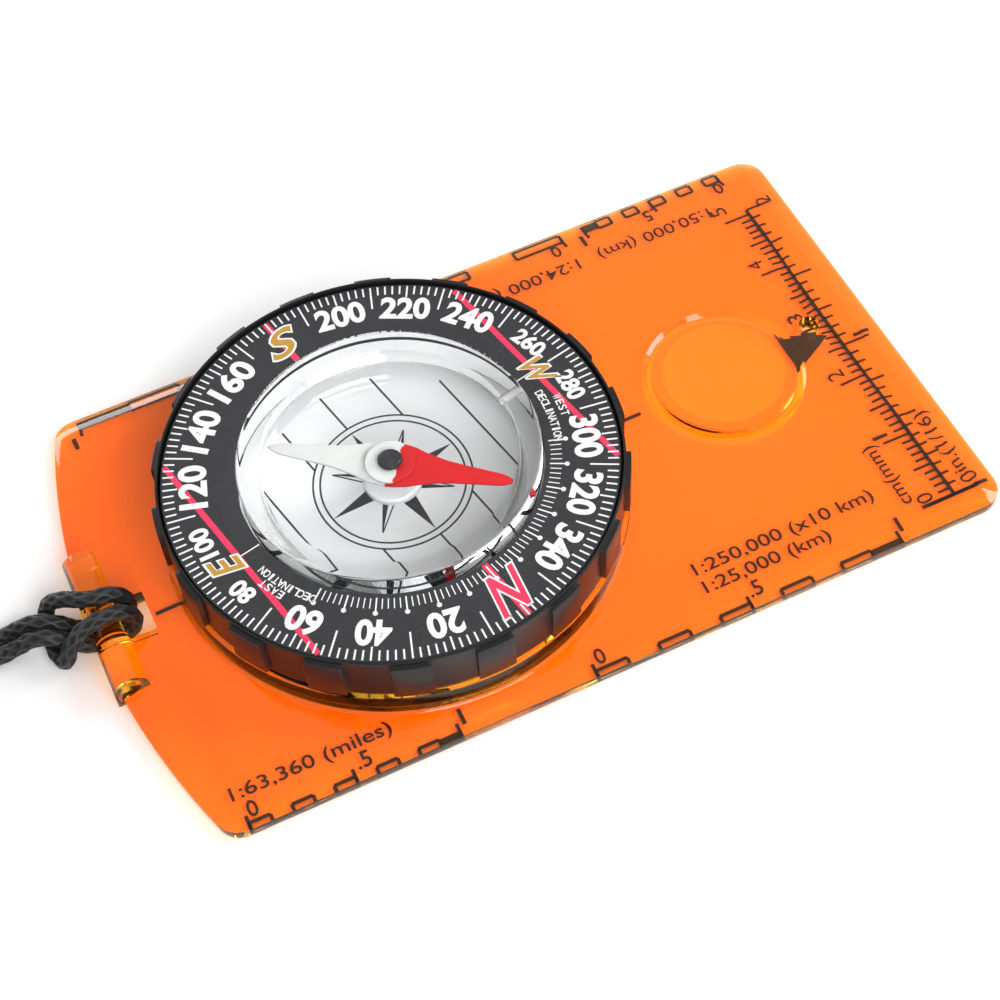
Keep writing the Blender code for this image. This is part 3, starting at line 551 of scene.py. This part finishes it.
strand_a, path_a = lay_strand("cord_strand_a", STRAND_A_ROUTE, False, -8,
                              ((6.9, 0.3, 3.1), (5.2, 1.6, 2.4), (3.4, 1.0, 1.0), (2.4, 0.4, 0.4)))
strand_b, path_b = lay_strand("cord_strand_b", STRAND_B_ROUTE, True, -4,
                              ((5.4, 5.0, 3.2), (3.2, 4.9, 3.0), (1.6, 3.8, 2.2), (0.9, 2.4, 1.2)))
knot = tie_knot()
for piece in (strand_a, strand_b, knot):
    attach(piece, "base")
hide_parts("lanyard_strand_a", "lanyard_coil")
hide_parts("lanyard_strand_b", "lanyard_coil")
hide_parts("lanyard_knot")


# ---------------- making pieces
SAME_SPOT = 1e-6  # vertices closer than this are one, in metres
SMOOTH_BELOW = 40.0  # edges flatter than this are shaded smooth, degrees
POINT = 0.02  # an outline that ends inside this radius is closed


def deselect_all():
    bpy.ops.object.select_all(action="DESELECT")


def take(piece):
    """Select one piece alone and make it the active one."""
    deselect_all()
    piece.select_set(True)
    bpy.context.view_layer.objects.active = piece


def edit_all():
    """Go into edit mode with everything selected."""
    bpy.ops.object.mode_set(mode="EDIT")
    bpy.ops.mesh.select_all(action="SELECT")


def end_edit():
    bpy.ops.object.mode_set(mode="OBJECT")


def face_out():
    bpy.ops.mesh.select_all(action="SELECT")
    bpy.ops.mesh.normals_make_consistent(inside=False)


def thicken(height):
    """Raise the selected faces into a solid with its faces outward."""
    bpy.ops.mesh.extrude_region_move(TRANSFORM_OT_translate={"value": (0.0, 0.0, height)})
    face_out()


def set_origin(piece):
    """Bring a piece's object to the world origin, with its place in its mesh."""
    take(piece)
    bpy.ops.object.transform_apply(location=True, rotation=True, scale=True)


def close_up(piece):
    """Merge doubles, fill open rings and point the faces outward."""
    take(piece)
    edit_all()
    bpy.ops.mesh.remove_doubles(threshold=SAME_SPOT)
    bpy.ops.mesh.fill_holes(sides=0)
    bpy.ops.mesh.normals_make_consistent(inside=False)
    end_edit()


def soften(piece, width=0.0, angle=30.0):
    """Round the edges sharper than the angle, if a width is given, and shade the rest smooth."""
    take(piece)
    if width > 0.0:
        rounding = piece.modifiers.new("rounding", "BEVEL")
        rounding.width = width
        rounding.segments = 2
        rounding.limit_method = "ANGLE"
        rounding.angle_limit = math.radians(angle)
        bpy.ops.object.modifier_apply(modifier=rounding.name)
    bpy.ops.object.shade_smooth_by_angle(angle=math.radians(SMOOTH_BELOW))


def turned(name, outline, steps, heading=0.0):
    """Turn an outline of (radius, height) points in mm: one ring, extruded from point to point."""
    deselect_all()
    radius, height = outline[0]
    bpy.ops.mesh.primitive_circle_add(vertices=steps, radius=radius * MM, rotation=(0.0, 0.0, heading),
                                      location=(AXIS.x, AXIS.y, height * MM))
    piece = bpy.context.object
    piece.name = name
    edit_all()
    solid = outline[-1][0] < POINT
    stops = outline[1:] if solid else outline[1:] + outline[:1]
    for r, z in stops:
        bpy.ops.mesh.extrude_edges_move(TRANSFORM_OT_translate={"value": (0.0, 0.0, (z - height) * MM)})
        bpy.ops.transform.resize(value=(r / radius, r / radius, 1.0),
                                 center_override=(AXIS.x, AXIS.y, z * MM))
        radius, height = r, z
    end_edit()
    close_up(piece)
    set_origin(piece)
    return piece


def give(piece, material, body, slot, *replaced):
    """Finish a piece: its material, the body that it moves with, and what it stands for."""
    piece.data.materials.clear()
    piece.data.materials.append(material)
    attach(piece, body)
    if replaced:
        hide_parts(*replaced)


def dress(node, material):
    """A frame solid that stays gets its finish in every slot."""
    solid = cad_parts[node]
    if not solid.data.materials:
        solid.data.materials.append(material)
    for slot in solid.material_slots:
        slot.material = material


def merged_copy(node, name):
    """A copy of a frame solid with its triangles merged into broad faces."""
    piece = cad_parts[node].copy()
    piece.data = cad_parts[node].data.copy()
    piece.name = name
    bpy.context.scene.collection.objects.link(piece)
    take(piece)
    edit_all()
    bpy.ops.mesh.remove_doubles(threshold=SAME_SPOT)
    bpy.ops.mesh.dissolve_limited(angle_limit=math.radians(0.5))
    bpy.ops.mesh.normals_make_consistent(inside=False)
    end_edit()
    return piece


def join(pieces, name):
    """Make one named piece of several."""
    deselect_all()
    for piece in pieces:
        piece.select_set(True)
    bpy.context.view_layer.objects.active = pieces[0]
    if len(pieces) > 1:
        bpy.ops.object.join()
    joined = bpy.context.view_layer.objects.active
    joined.name = name
    return joined


# ---------------- printing
def make_blank():
    """The blank that every printed stroke is stamped from: one millimetre square, one unit high."""
    deselect_all()
    bpy.ops.mesh.primitive_plane_add(size=MM)
    blank = bpy.context.object
    edit_all()
    thicken(1.0)
    end_edit()
    mesh = blank.data
    bpy.data.objects.remove(blank)
    return mesh


BLANK = make_blank()


def stroke(start, end, width, height, thick=INK):
    """A printed line between two points, in mm from the dial's axis, at a height in metres."""
    a = Vector((start[0], start[1], 0.0))
    b = Vector((end[0], end[1], 0.0))
    along = b - a
    mesh = BLANK.copy()
    mesh.transform(Matrix.Translation(AXIS + (a + b) * (0.5 * MM) + Vector((0.0, 0.0, height)))
                   @ Matrix.Rotation(math.atan2(along.y, along.x), 4, "Z")
                   @ Matrix.Diagonal((along.length, width, thick, 1.0)))
    piece = bpy.data.objects.new("stroke", mesh)
    bpy.context.scene.collection.objects.link(piece)
    return piece


def block(corners, height, thick=INK):
    """A printed patch with straight sides, in mm from the dial's axis."""
    deselect_all()
    bpy.ops.mesh.primitive_circle_add(vertices=len(corners), radius=MM, fill_type="NGON")
    piece = bpy.context.object
    for vertex, corner in zip(piece.data.vertices, corners):
        vertex.co = AXIS + Vector((corner[0], corner[1], 0.0)) * MM + Vector((0.0, 0.0, height))
    edit_all()
    thicken(thick)
    end_edit()
    set_origin(piece)
    return piece


def words(text, centre, size, heading, height, thick=INK, bold=0.0, slant=0.0, grow=0.0):
    """Printed lettering: centre and size (width, height) in mm, the centre from the dial's axis.

    Heading is that of its baseline, bold and slant are Blender's own, and grow widens both sizes, in mm.
    """
    deselect_all()
    bpy.ops.object.text_add()
    piece = bpy.context.object
    piece.data.body = text
    piece.data.extrude = 0.5
    piece.data.offset = bold
    piece.data.shear = slant
    piece.data.resolution_u = 4
    bpy.ops.object.convert(target="MESH")
    piece = bpy.context.object
    xs = [v.co.x for v in piece.data.vertices]
    ys = [v.co.y for v in piece.data.vertices]
    wide, tall = max(xs) - min(xs), max(ys) - min(ys)
    stretch_x = (size[0] + grow) / wide
    stretch_y = (size[1] + grow) / tall
    middle_x, middle_y = (max(xs) + min(xs)) / 2.0, (max(ys) + min(ys)) / 2.0
    place = AXIS + Vector((centre[0], centre[1], 0.0)) * MM + Vector((0.0, 0.0, height + thick / 2.0))
    piece.data.transform(Matrix.Translation(place) @ Matrix.Rotation(math.radians(heading), 4, "Z")
                         @ Matrix.Diagonal((stretch_x * MM, stretch_y * MM, thick, 1.0))
                         @ Matrix.Translation((-middle_x, -middle_y, 0.0)))
    return piece


def polar(radius, heading):
    """The point at a radius from the dial's axis, heading in degrees from +X."""
    return (radius * math.cos(math.radians(heading)), radius * math.sin(math.radians(heading)))


def dial_heading(angle):
    """Heading of an angle of the dial, which is numbered clockwise."""
    return DIAL_NORTH - angle


# ---------------- table and lights
TABLE_SIZE = 6.0
TABLE_DROP = 0.3 * MM  # the table lies this far under the compass


def lay_table():
    deselect_all()
    bpy.ops.mesh.primitive_plane_add(size=TABLE_SIZE, location=(0.0, 0.0, -TABLE_DROP))
    table = bpy.context.object
    table.name = "table"
    set_origin(table)
    table.data.materials.append(pale_table())


def hang_light(name, place, size, power):
    """A soft panel at a place from the dial's axis, facing it."""
    deselect_all()
    bpy.ops.object.light_add(type="AREA", location=AXIS + Vector(place))
    lamp = bpy.context.object
    lamp.name = name
    lamp.data.shape = "RECTANGLE"
    lamp.data.size, lamp.data.size_y = size
    lamp.data.energy = power
    lamp.rotation_euler = (-Vector(place)).to_track_quat("-Z", "Y").to_euler()


def light_room():
    """Plain white surroundings and three soft panels."""
    world = bpy.data.worlds.new("soft_room")
    world.use_nodes = True
    world.node_tree.nodes["Background"].inputs["Color"].default_value = (1.0, 1.0, 1.0, 1.0)
    world.node_tree.nodes["Background"].inputs["Strength"].default_value = 0.60
    bpy.context.scene.world = world
    bpy.context.scene.view_settings.view_transform = "Standard"
    hang_light("front_panel", (0.05, -0.66, 0.58), (0.60, 0.40), 5.2)
    hang_light("side_panel", (0.70, -0.16, 0.50), (0.35, 0.35), 3.2)
    hang_light("back_panel", (-0.15, 0.80, 0.26), (0.70, 0.20), 2.4)


lay_table()
light_room()


# ---------------- plate
# all sizes and places from here on are in mm, and the places are from the dial's axis
SCALE_LINE = 0.42
SCALE_PROUD = 0.9  # how far a scale's ticks stand out of its boxes
NEAR_RAILS = (-29.6, -30.62)  # inner and outer rail of a scale along each edge
FAR_RAILS = (29.35, 30.7)
SCALES = (  # start, length, rails, ticks as shares of the length
    (-30.9, 25.4, NEAR_RAILS, (0.0, 0.5, 1.0)), (11.5, 40.0, NEAR_RAILS, (0.0, 0.5, 1.0)),
    (59.8, -20.0, FAR_RAILS, (0.0, 0.5, 1.0)), (36.5, -67.0, FAR_RAILS, (0.0, 1.0)),
)
NARROW = 0.5  # width of a figure 1
SCALE_FIGURE_TALL = 1.85
SCALE_FIGURE_WIDE = {"0": 1.25, ".5": 1.75, "1": NARROW}
SCALE_FIGURES = (  # text, x, y, heading
    ("0", -29.9, -28.2, 0.0), (".5", -16.6, -28.2, 0.0), ("1", -4.6, -28.2, 0.0),
    ("0", 12.75, -28.2, 0.0), (".5", 32.9, -28.2, 0.0), ("1", 52.25, -28.1, 0.0),
    ("0", 58.9, 28.3, 180.0), (".5", 48.7, 28.3, 180.0), ("1", 38.9, 28.3, 180.0),
    ("0", 34.9, 28.3, 180.0), ("1", -31.6, 27.7, 180.0),
)
PLATE_NAMES = (  # text, x, y, width, height, heading, bold
    ("1:63,360 (miles)", -21.875, -26.1, 19.25, 2.3, 0.0, 0.008),
    ("1:250,000 (x10 km)", 39.6, -23.25, 24.0, 2.3, 0.0, 0.008),
    ("1:25,000 (km)", 35.95, -25.9, 16.7, 2.3, 0.0, 0.008),
    ("1:50,000 (km)", 47.75, 25.4, 16.3, 2.3, 180.0, 0.006),
    ("1:24,000 (miles)", 27.0, 25.4, 19.4, 2.3, 180.0, 0.006),
    ("cm(mm)", 54.9, -21.6, 9.2, 2.4, 90.0, 0.006),
    ("in.(1/16)", 63.0, -20.2, 9.8, 2.1, 90.0, 0.006),
)
INCH = 25.4
RULER = 60.34  # x of the ruler's line
RULER_ZERO, RULER_END = -27.44, 23.36  # y of its ends
RULER_TICK = 0.34
RULER_FIGURE = (1.35, 2.0)
CM_REACH = ((10, 3.6), (5, 2.5), (1, 1.6))  # how far every tenth, fifth, single tick reaches
INCH_REACH = ((16, 3.4), (8, 2.5), (4, 1.9), (1, 1.2))
CM_FIGURES = (56.9, (-26.4, -16.4, -5.9, 4.4, 14.4, 24.6))  # x, and the y of 0, 1, 2, …
INCH_FIGURES = (63.1, (-26.1, -1.25, 23.9))


def reach_of(count, table):
    """How far a tick reaches: the first step of the table that its count falls on decides."""
    return next(reach for step, reach in table if count % step == 0)


def make_plate():
    plate = merged_copy("baseplate", "orange_plate")
    soften(plate, 0.10 * MM, angle=34.0)
    give(plate, orange_acrylic(), "base", "orange_acrylic", "baseplate")


def scale_ladder(start, length, rails, ticks):
    """A printed scale of ten parts along a long edge: open boxes, a solid last tenth and proud ticks."""
    inner, outer = rails
    marks = []
    for k in (0, 2, 4, 6, 8):
        low, high = start + length * k / 10.0, start + length * (k + 1) / 10.0
        for line in (((low, inner), (high, inner)), ((low, outer), (high, outer)),
                     ((low, inner), (low, outer)), ((high, inner), (high, outer))):
            marks.append(stroke(*line, SCALE_LINE, BURIED))
    low, high = start + 0.9 * length, start + length
    marks.append(block([(low, outer), (high, outer), (high, inner), (low, inner)], BURIED))
    proud = inner + math.copysign(SCALE_PROUD, inner - outer)
    for share in ticks:
        x = start + length * share
        marks.append(stroke((x, proud), (x, outer), SCALE_LINE, BURIED))
    return marks


def print_plate():
    """Scales, ruler, their figures and the index marks, all in one piece of print."""
    marks = []
    for scale in SCALES:
        marks += scale_ladder(*scale)
    for text, x, y, heading in SCALE_FIGURES:
        marks.append(words(text, (x, y), (SCALE_FIGURE_WIDE[text], SCALE_FIGURE_TALL), heading, BURIED,
                           bold=0.012))
    for text, x, y, wide, tall, heading, bold in PLATE_NAMES:
        marks.append(words(text, (x, y), (wide, tall), heading, BURIED, bold=bold))

    marks.append(stroke((RULER, RULER_ZERO), (RULER, RULER_END), 0.5, BURIED))
    marks.append(stroke((RULER - 4.4, RULER_ZERO), (RULER + 4.4, RULER_ZERO), 0.45, BURIED))
    for count, step, table, way in ((51, 1.0, CM_REACH, -1.0), (33, INCH / 16.0, INCH_REACH, 1.0)):
        for k in range(count):
            y = RULER_ZERO + step * k
            marks.append(stroke((RULER, y), (RULER + way * reach_of(k, table), y), RULER_TICK, BURIED))
    for x, places in (CM_FIGURES, INCH_FIGURES):
        for k, y in enumerate(places):
            wide = NARROW if k == 1 else RULER_FIGURE[0]
            marks.append(words(str(k), (x, y), (wide, RULER_FIGURE[1]), 90.0, BURIED))

    marks.append(stroke((-31.0, 0.0), (-24.2, 0.0), 0.5, BURIED))
    marks.append(stroke((24.2, 0.0), (32.6, 0.0), 0.5, BURIED))
    marks.append(block([(53.0, -3.3), (59.3, 0.0), (53.0, 3.3)], BURIED))
    give(join(marks, "plate_printing"),
         ink("plate_print", (0.012, 0.009, 0.008), (0.03, 0.022, 0.018), 0.5), "base", "orange_acrylic")


make_plate()
print_plate()


# ---------------- turning housing
# every outline is a run of (radius, height) points
RING_OUTLINE = (
    (27.3, 12.2), (27.3, 11.8), (27.3, 6.0), (27.3, 5.8), (23.7, 5.8), (23.7, 1.1), (22.0, 1.1),
    (22.0, 7.3), (18.0, 7.3), (18.0, 9.0), (18.8, 9.0), (18.8, 10.5), (27.0, 10.5), (27.0, 12.2),
)
RING_WALL_INNER = 27.1  # faces further out than this are the ring's rim
LAND_FOOT, LAND_HEAD = 6.0, 11.8  # heights that a grip land runs between
RING_STEPS = 306
LAND_PITCH = 20.0  # eighteen lands to a turn, in degrees
LAND_STEPS = 8.0  # width of a land in the ring's own steps
LAND_RISE = 0.6
DIAL_TEXT_RADIUS = 22.95
SMALL_TEXT_RADIUS = 23.5
CROWDED = (80, 100, 260, 280)  # numerals beside E and W, in a smaller size
NUDGED = {260: 0.8, 280: 0.8}  # degrees that these sit past their own tick
DIAL_TICK_OUTER = 26.475
DIAL_TICK_INNER = ((20, 24.75), (10, 23.14), (2, 25.2))
STRIPES = ((0.0, 0.8), (21.0, 0.72), (-21.0, 0.72))  # distance from the middle, and width
STRIPE_INNER, STRIPE_OUTER = 18.15, 26.4  # radii of the printed band
LETTER_LIFT = 1.8 * INK  # the letters lie on top of their white edging
CARDINALS = (  # text, angle, radius, width, height
    ("N", 0.0, 22.6, 5.0, 5.4), ("S", 180.0, 22.6, 4.5, 4.0), ("W", 271.5, 21.3, 4.0, 3.1),
    ("E", 90.0, 22.75, 3.1, 3.5),
)
CURVED_WORDS = (  # text, radius, angles of the first and last letter
    ("EAST", 21.25, 70.5, 77.5), ("DECLINATION", 20.05, 61.0, 81.0),
    ("WEST", 21.3, 283.0, 290.0), ("DECLINATION", 19.7, 279.0, 299.5),
)
BEAD_RADIUS, BEAD_SIZE, BEAD_SIDES = 20.5, 0.3, 10  # the dots of the declination scale


def make_grip_ring():
    """The grip ring, with eighteen lands drawn out of its rim."""
    pitch = 360.0 / RING_STEPS
    first_edge = LAND_HEADING - LAND_STEPS / 2.0 * pitch
    ring = turned("housing_ring", RING_OUTLINE, RING_STEPS,
                  heading=math.radians((first_edge - 90.0) % pitch))
    take(ring)
    bpy.context.tool_settings.mesh_select_mode = (False, False, True)
    bpy.ops.object.mode_set(mode="EDIT")
    bpy.ops.mesh.select_all(action="DESELECT")
    end_edit()
    for face in ring.data.polygons:
        spot = face.center - AXIS
        heading = math.degrees(math.atan2(spot.y, spot.x)) - first_edge
        on_wall = (LAND_FOOT * MM < spot.z < LAND_HEAD * MM and abs(face.normal.z) < 0.1
                   and spot.xy.length > RING_WALL_INNER * MM)
        face.select = on_wall and (heading % LAND_PITCH) < LAND_STEPS * pitch
    bpy.ops.object.mode_set(mode="EDIT")
    bpy.ops.mesh.extrude_region_shrink_fatten(TRANSFORM_OT_shrink_fatten={"value": LAND_RISE * MM})
    end_edit()
    bpy.context.tool_settings.mesh_select_mode = (True, False, False)
    soften(ring, 0.13 * MM)
    give(ring, housing_plastic(), "housing", "housing_black", "grip_ring")


def dial_mark(angle, inner, outer, width):
    """A printed line along a radius of the dial."""
    heading = dial_heading(angle)
    return stroke(polar(inner, heading), polar(outer, heading), width, DIAL_TOP)


def upright(text, angle, radius, size, thick=INK, **style):
    """Lettering on the dial that stands with its head outward."""
    heading = dial_heading(angle)
    return words(text, polar(radius, heading), size, heading - 90.0, DIAL_TOP, thick, **style)


def cardinal(row, thick, bold, grow=0.0):
    text, angle, radius, wide, tall = row
    return upright(text, angle, radius, (wide, tall), thick, bold=bold, slant=0.35, grow=grow)


def print_stripes():
    """The north-south stripes, which stop at the capsule where they would run under it."""
    stripes = []
    north = Vector(polar(1.0, DIAL_NORTH))
    across = Vector((-north.y, north.x))
    for offset, wide in STRIPES:
        inner = math.sqrt(max(STRIPE_INNER ** 2 - offset ** 2, 0.0))
        outer = math.sqrt(STRIPE_OUTER ** 2 - offset ** 2)
        ends = [(inner, outer), (-outer, -inner)] if offset == 0.0 else [(-outer, outer)]
        for low, high in ends:
            stripes.append(stroke(across * offset + north * low, across * offset + north * high, wide,
                                  DIAL_TOP, 0.5 * INK))
    return join(stripes, "dial_stripes")


def print_figures():
    """Degree ticks, numerals, declination scales and the letters' edging, all white."""
    marks = []
    for angle in range(0, 360, 2):
        marks.append(dial_mark(angle, reach_of(angle, DIAL_TICK_INNER), DIAL_TICK_OUTER, 0.21))
    for angle in range(20, 360, 20):
        if angle == 180:
            continue
        text = str(angle)
        tall, digit, radius = (2.35, 1.45, SMALL_TEXT_RADIUS) if angle in CROWDED else (
            3.4, 2.05, DIAL_TEXT_RADIUS)
        marks.append(upright(text, angle + NUDGED.get(angle, 0.0), radius, (digit * len(text), tall),
                             bold=0.036))
    for angle in range(-60, 61, 2):
        if angle % 10:
            marks.append(dial_mark(angle, 18.6, 19.9, 0.12))
            continue
        marks.append(dial_mark(angle, 18.5, 20.2, 0.17))
        x, y = polar(BEAD_RADIUS, dial_heading(angle))
        marks.append(block([(x + BEAD_SIZE * math.cos(math.tau * k / BEAD_SIDES),
                             y + BEAD_SIZE * math.sin(math.tau * k / BEAD_SIDES))
                            for k in range(BEAD_SIDES)], DIAL_TOP))
    for angle in (90.0, 270.0):
        marks.append(dial_mark(angle, 18.2, 21.2, 0.14))
    for text, radius, first, last in CURVED_WORDS:
        for k, letter in enumerate(text):
            wide = 0.3 if letter == "I" else 0.68
            marks.append(upright(letter, first + (last - first) * k / (len(text) - 1), radius,
                                 (wide, 1.0), bold=0.012))
    marks += [cardinal(row, INK, 0.05, grow=0.55) for row in CARDINALS]
    return join(marks, "dial_figures")


def print_dial():
    white = ink("dial_white", (0.86, 0.86, 0.85), (0.66, 0.66, 0.67), 0.4)
    pink = ink("dial_pink", (0.80, 0.035, 0.11), (0.62, 0.02, 0.07), 0.4)
    ochre = ink("dial_ochre", (0.52, 0.29, 0.035), (0.38, 0.19, 0.02), 0.35)
    give(print_stripes(), pink, "housing", "dial_black")
    give(print_figures(), white, "housing", "dial_black")
    side_letters = join([cardinal(row, LETTER_LIFT, 0.015) for row in CARDINALS[1:]], "dial_side_letters")
    give(side_letters, ochre, "housing", "dial_black")
    north_letter = join([cardinal(CARDINALS[0], LETTER_LIFT, 0.015)], "dial_north_letter")
    give(north_letter, pink, "housing", "dial_black")


make_grip_ring()
dress("dial_ring", dial_black())
print_dial()


# ---------------- capsule
CAPSULE_OUTLINE = (
    (17.1, 14.3), (17.5, 14.12), (17.7, 13.7), (17.7, 10.55), (18.5, 10.5), (18.5, 9.3), (17.7, 9.3),
    (17.7, 2.6), (17.6, 2.5), (0.01, 2.5),
)
HOLLOW_OUTLINE = (
    (14.6, 13.1), (14.9, 12.98), (15.0, 12.7), (15.0, 4.9), (14.8, 4.5), (14.5, 4.4), (0.01, 4.4),
)
CAPSULE_STEPS = 128
CAPSULE_IOR = 1.49  # against air
LIQUID_FACE_IOR = 1.042  # the plastic against the liquid
FLOOR_TOP = 4.41  # printing lies just above the chamber's floor
FLOOR_EDGE = 14.55  # radius that the meridian lines end at
MERIDIANS = (-12.2, -6.1, 0.0, 6.1, 12.2)
ROSE_RADII = (9.0, 8.2)
ROSE_LINE = 0.11  # half of a circle's width
STAR_TIP = 8.1


def make_capsule():
    """Clear sealed capsule in one shell, its hollow lined where the liquid meets the plastic."""
    outside = turned("capsule", CAPSULE_OUTLINE, CAPSULE_STEPS)
    soften(outside)
    inside = turned("capsule_hollow", HOLLOW_OUTLINE, CAPSULE_STEPS)
    soften(inside)
    take(inside)
    edit_all()
    bpy.ops.mesh.normals_make_consistent(inside=True)
    end_edit()
    outside_faces = len(outside.data.polygons)
    capsule = join([outside, inside], "clear_capsule")
    give(capsule, clear_acrylic("clear_acrylic", CAPSULE_IOR), "housing", "clear_acrylic",
         "capsule_dome", "capsule_floor", "capsule_seal")
    capsule.data.materials.append(clear_acrylic("capsule_liquid_face", LIQUID_FACE_IOR))
    for face in capsule.data.polygons:
        face.material_index = 1 if face.index >= outside_faces else 0


def print_floor():
    """The rose and the meridian lines under the needle."""
    floor = FLOOR_TOP * MM
    north = Vector(polar(1.0, DIAL_NORTH))
    across = Vector((-north.y, north.x))
    marks = []
    for offset in MERIDIANS:
        half = math.sqrt(FLOOR_EDGE ** 2 - offset ** 2)
        gap = math.sqrt(max(ROSE_RADII[0] ** 2 - offset ** 2, 0.0))
        for low, high in (((gap, half), (-half, -gap)) if gap else ((-half, half),)):
            marks.append(stroke(across * offset + north * low, across * offset + north * high, 0.24, floor))
    low, high = FLOOR_TOP, FLOOR_TOP + INK / MM
    for radius in ROSE_RADII:
        inner, outer = radius - ROSE_LINE, radius + ROSE_LINE
        marks.append(turned("rose_circle", ((outer, low), (outer, high), (inner, high), (inner, low)),
                            CAPSULE_STEPS))
    middle_point = Vector((0.0, 0.0))
    for k in range(8):
        heading = dial_heading(45.0 * k)
        hip = 2.05 if k % 2 else 2.5
        tip = Vector(polar(STAR_TIP, heading))
        left = Vector(polar(hip, heading + 22.5))
        right = Vector(polar(hip, heading - 22.5))
        if k % 2:
            tip *= 0.86
            marks += [stroke(tip, left, 0.16, floor), stroke(tip, right, 0.16, floor)]
            marks.append(block([middle_point, tip, right], floor))
        else:
            marks.append(block([middle_point, right, tip, left], floor))
    give(join(marks, "floor_rose"), ink("rose_black", (0.010, 0.010, 0.012), (0.03, 0.03, 0.034), 0.5),
         "housing", "clear_acrylic")


make_capsule()
print_floor()


# ---------------- needle
NEEDLE_SHAPE = (  # distance along the needle, half of its width
    (0.0, 3.05), (1.1, 2.95), (2.4, 2.70), (3.7, 2.20), (6.4, 1.50), (8.8, 1.20), (12.6, 0.80),
    (13.3, 0.65), (14.5, 0.08),
)
HUB_OUTLINE = (
    (2.9, 10.2), (2.9, 9.8), (1.6, 9.8), (1.6, 8.8), (2.2, 8.8), (2.2, 8.4), (1.2, 8.4), (1.2, 10.2),
)
CAP_OUTLINE = (
    (1.42, 10.5), (1.45, 10.8), (1.35, 11.0), (1.1, 11.1), (0.5, 11.1), (0.42, 11.02), (0.01, 11.0),
)
RED_TONES = ((0.62, 0.002, 0.006), (0.50, 0.001, 0.004))


def make_needle_half(name, heading):
    """One half of the needle, drawn out along its heading from a line across the hub."""
    root = NEEDLE_SHAPE[0][1]
    deselect_all()
    bpy.ops.mesh.primitive_plane_add(size=1.0)
    blade = bpy.context.object
    blade.name = name
    edit_all()
    bpy.ops.mesh.delete(type="ONLY_FACE")
    end_edit()
    for vertex, y in zip(blade.data.vertices, (-root, root, -root, root)):
        vertex.co = (0.0, y * MM, 0.0)
    take(blade)
    edit_all()
    bpy.ops.mesh.remove_doubles(threshold=SAME_SPOT)
    bpy.ops.mesh.select_all(action="SELECT")
    for (before_x, before_y), (x, y) in zip(NEEDLE_SHAPE, NEEDLE_SHAPE[1:]):
        bpy.ops.mesh.extrude_edges_move(TRANSFORM_OT_translate={"value": ((x - before_x) * MM, 0.0, 0.0)})
        bpy.ops.transform.resize(value=(1.0, y / before_y, 1.0), center_override=(x * MM, 0.0, 0.0))
    bpy.ops.mesh.select_all(action="SELECT")
    thicken(BLADE_HIGH.z - BLADE_LOW.z)
    end_edit()
    blade.data.transform(Matrix.Translation(AXIS) @ Matrix.Rotation(math.radians(heading), 4, "Z")
                         @ Matrix.Translation((0.0, 0.0, BLADE_LOW.z)))
    soften(blade, 0.06 * MM)
    return blade


def painted_hub():
    """White hub whose red-end side was brushed over with the blade, up to a ragged line."""
    recipe = Recipe("painted_hub")
    x, y, _ = recipe.parts_of(recipe.place())
    heading = math.radians(NEEDLE_HEADING)
    forward = (x - AXIS.x) * math.cos(heading) + y * math.sin(heading)
    ragged = recipe.noise(900.0, 4.0, 0.7)
    red_side = (forward + 1.6 * MM * (ragged - 0.5)) > 0.9 * MM
    body = recipe.between(red_side, recipe.between(ragged, (0.72, 0.72, 0.71), (0.62, 0.62, 0.61)),
                          recipe.between(ragged, *RED_TONES))
    return recipe.finish(recipe.surface(
        Base_Color=body, Roughness=0.3 + 0.15 * ragged, Specular_IOR_Level=0.3,
        Normal=recipe.bump(ragged, 0.02 * MM, 0.4)))


def make_needle():
    """The two painted halves, the hub and its cap."""
    red = enamel("needle_red", *RED_TONES)
    white = enamel("needle_white", (0.70, 0.70, 0.69), (0.58, 0.58, 0.57))
    for name, heading, paint in (("needle_red_half", NEEDLE_HEADING, red),
                                 ("needle_white_half", NEEDLE_HEADING + 180.0, white)):
        give(make_needle_half(name, heading), paint, "needle", "needle_paint", "needle_blade")
    hub = turned("needle_boss", HUB_OUTLINE, 64)
    soften(hub, 0.1 * MM)
    give(hub, painted_hub(), "needle", "white_plastic", "needle_hub")
    cap = turned("hub_button", CAP_OUTLINE, 48)
    soften(cap, 0.05 * MM)
    give(cap, gloss_black(), "needle", "cap_black", "hub_cap")


make_needle()
dress("jewel_cup", jewel_red())
dress("pivot_seat", moulded_white("seat_white", (0.80, 0.82, 0.83), (0.70, 0.73, 0.75), 0.3))
dress("pivot_pin", ground_steel("pivot_steel", (0.62, 0.62, 0.64)))
dress("fill_plug", moulded_white("plug_white", (0.78, 0.78, 0.77), (0.66, 0.66, 0.66), 0.0))
dress("friction_washer", ground_steel("spring_steel", (0.50, 0.50, 0.52)))
dress("retaining_ring", housing_plastic())
dress("coil_tie", soft_rubber("tie_rubber", (0.012, 0.012, 0.013), (0.035, 0.035, 0.037)))
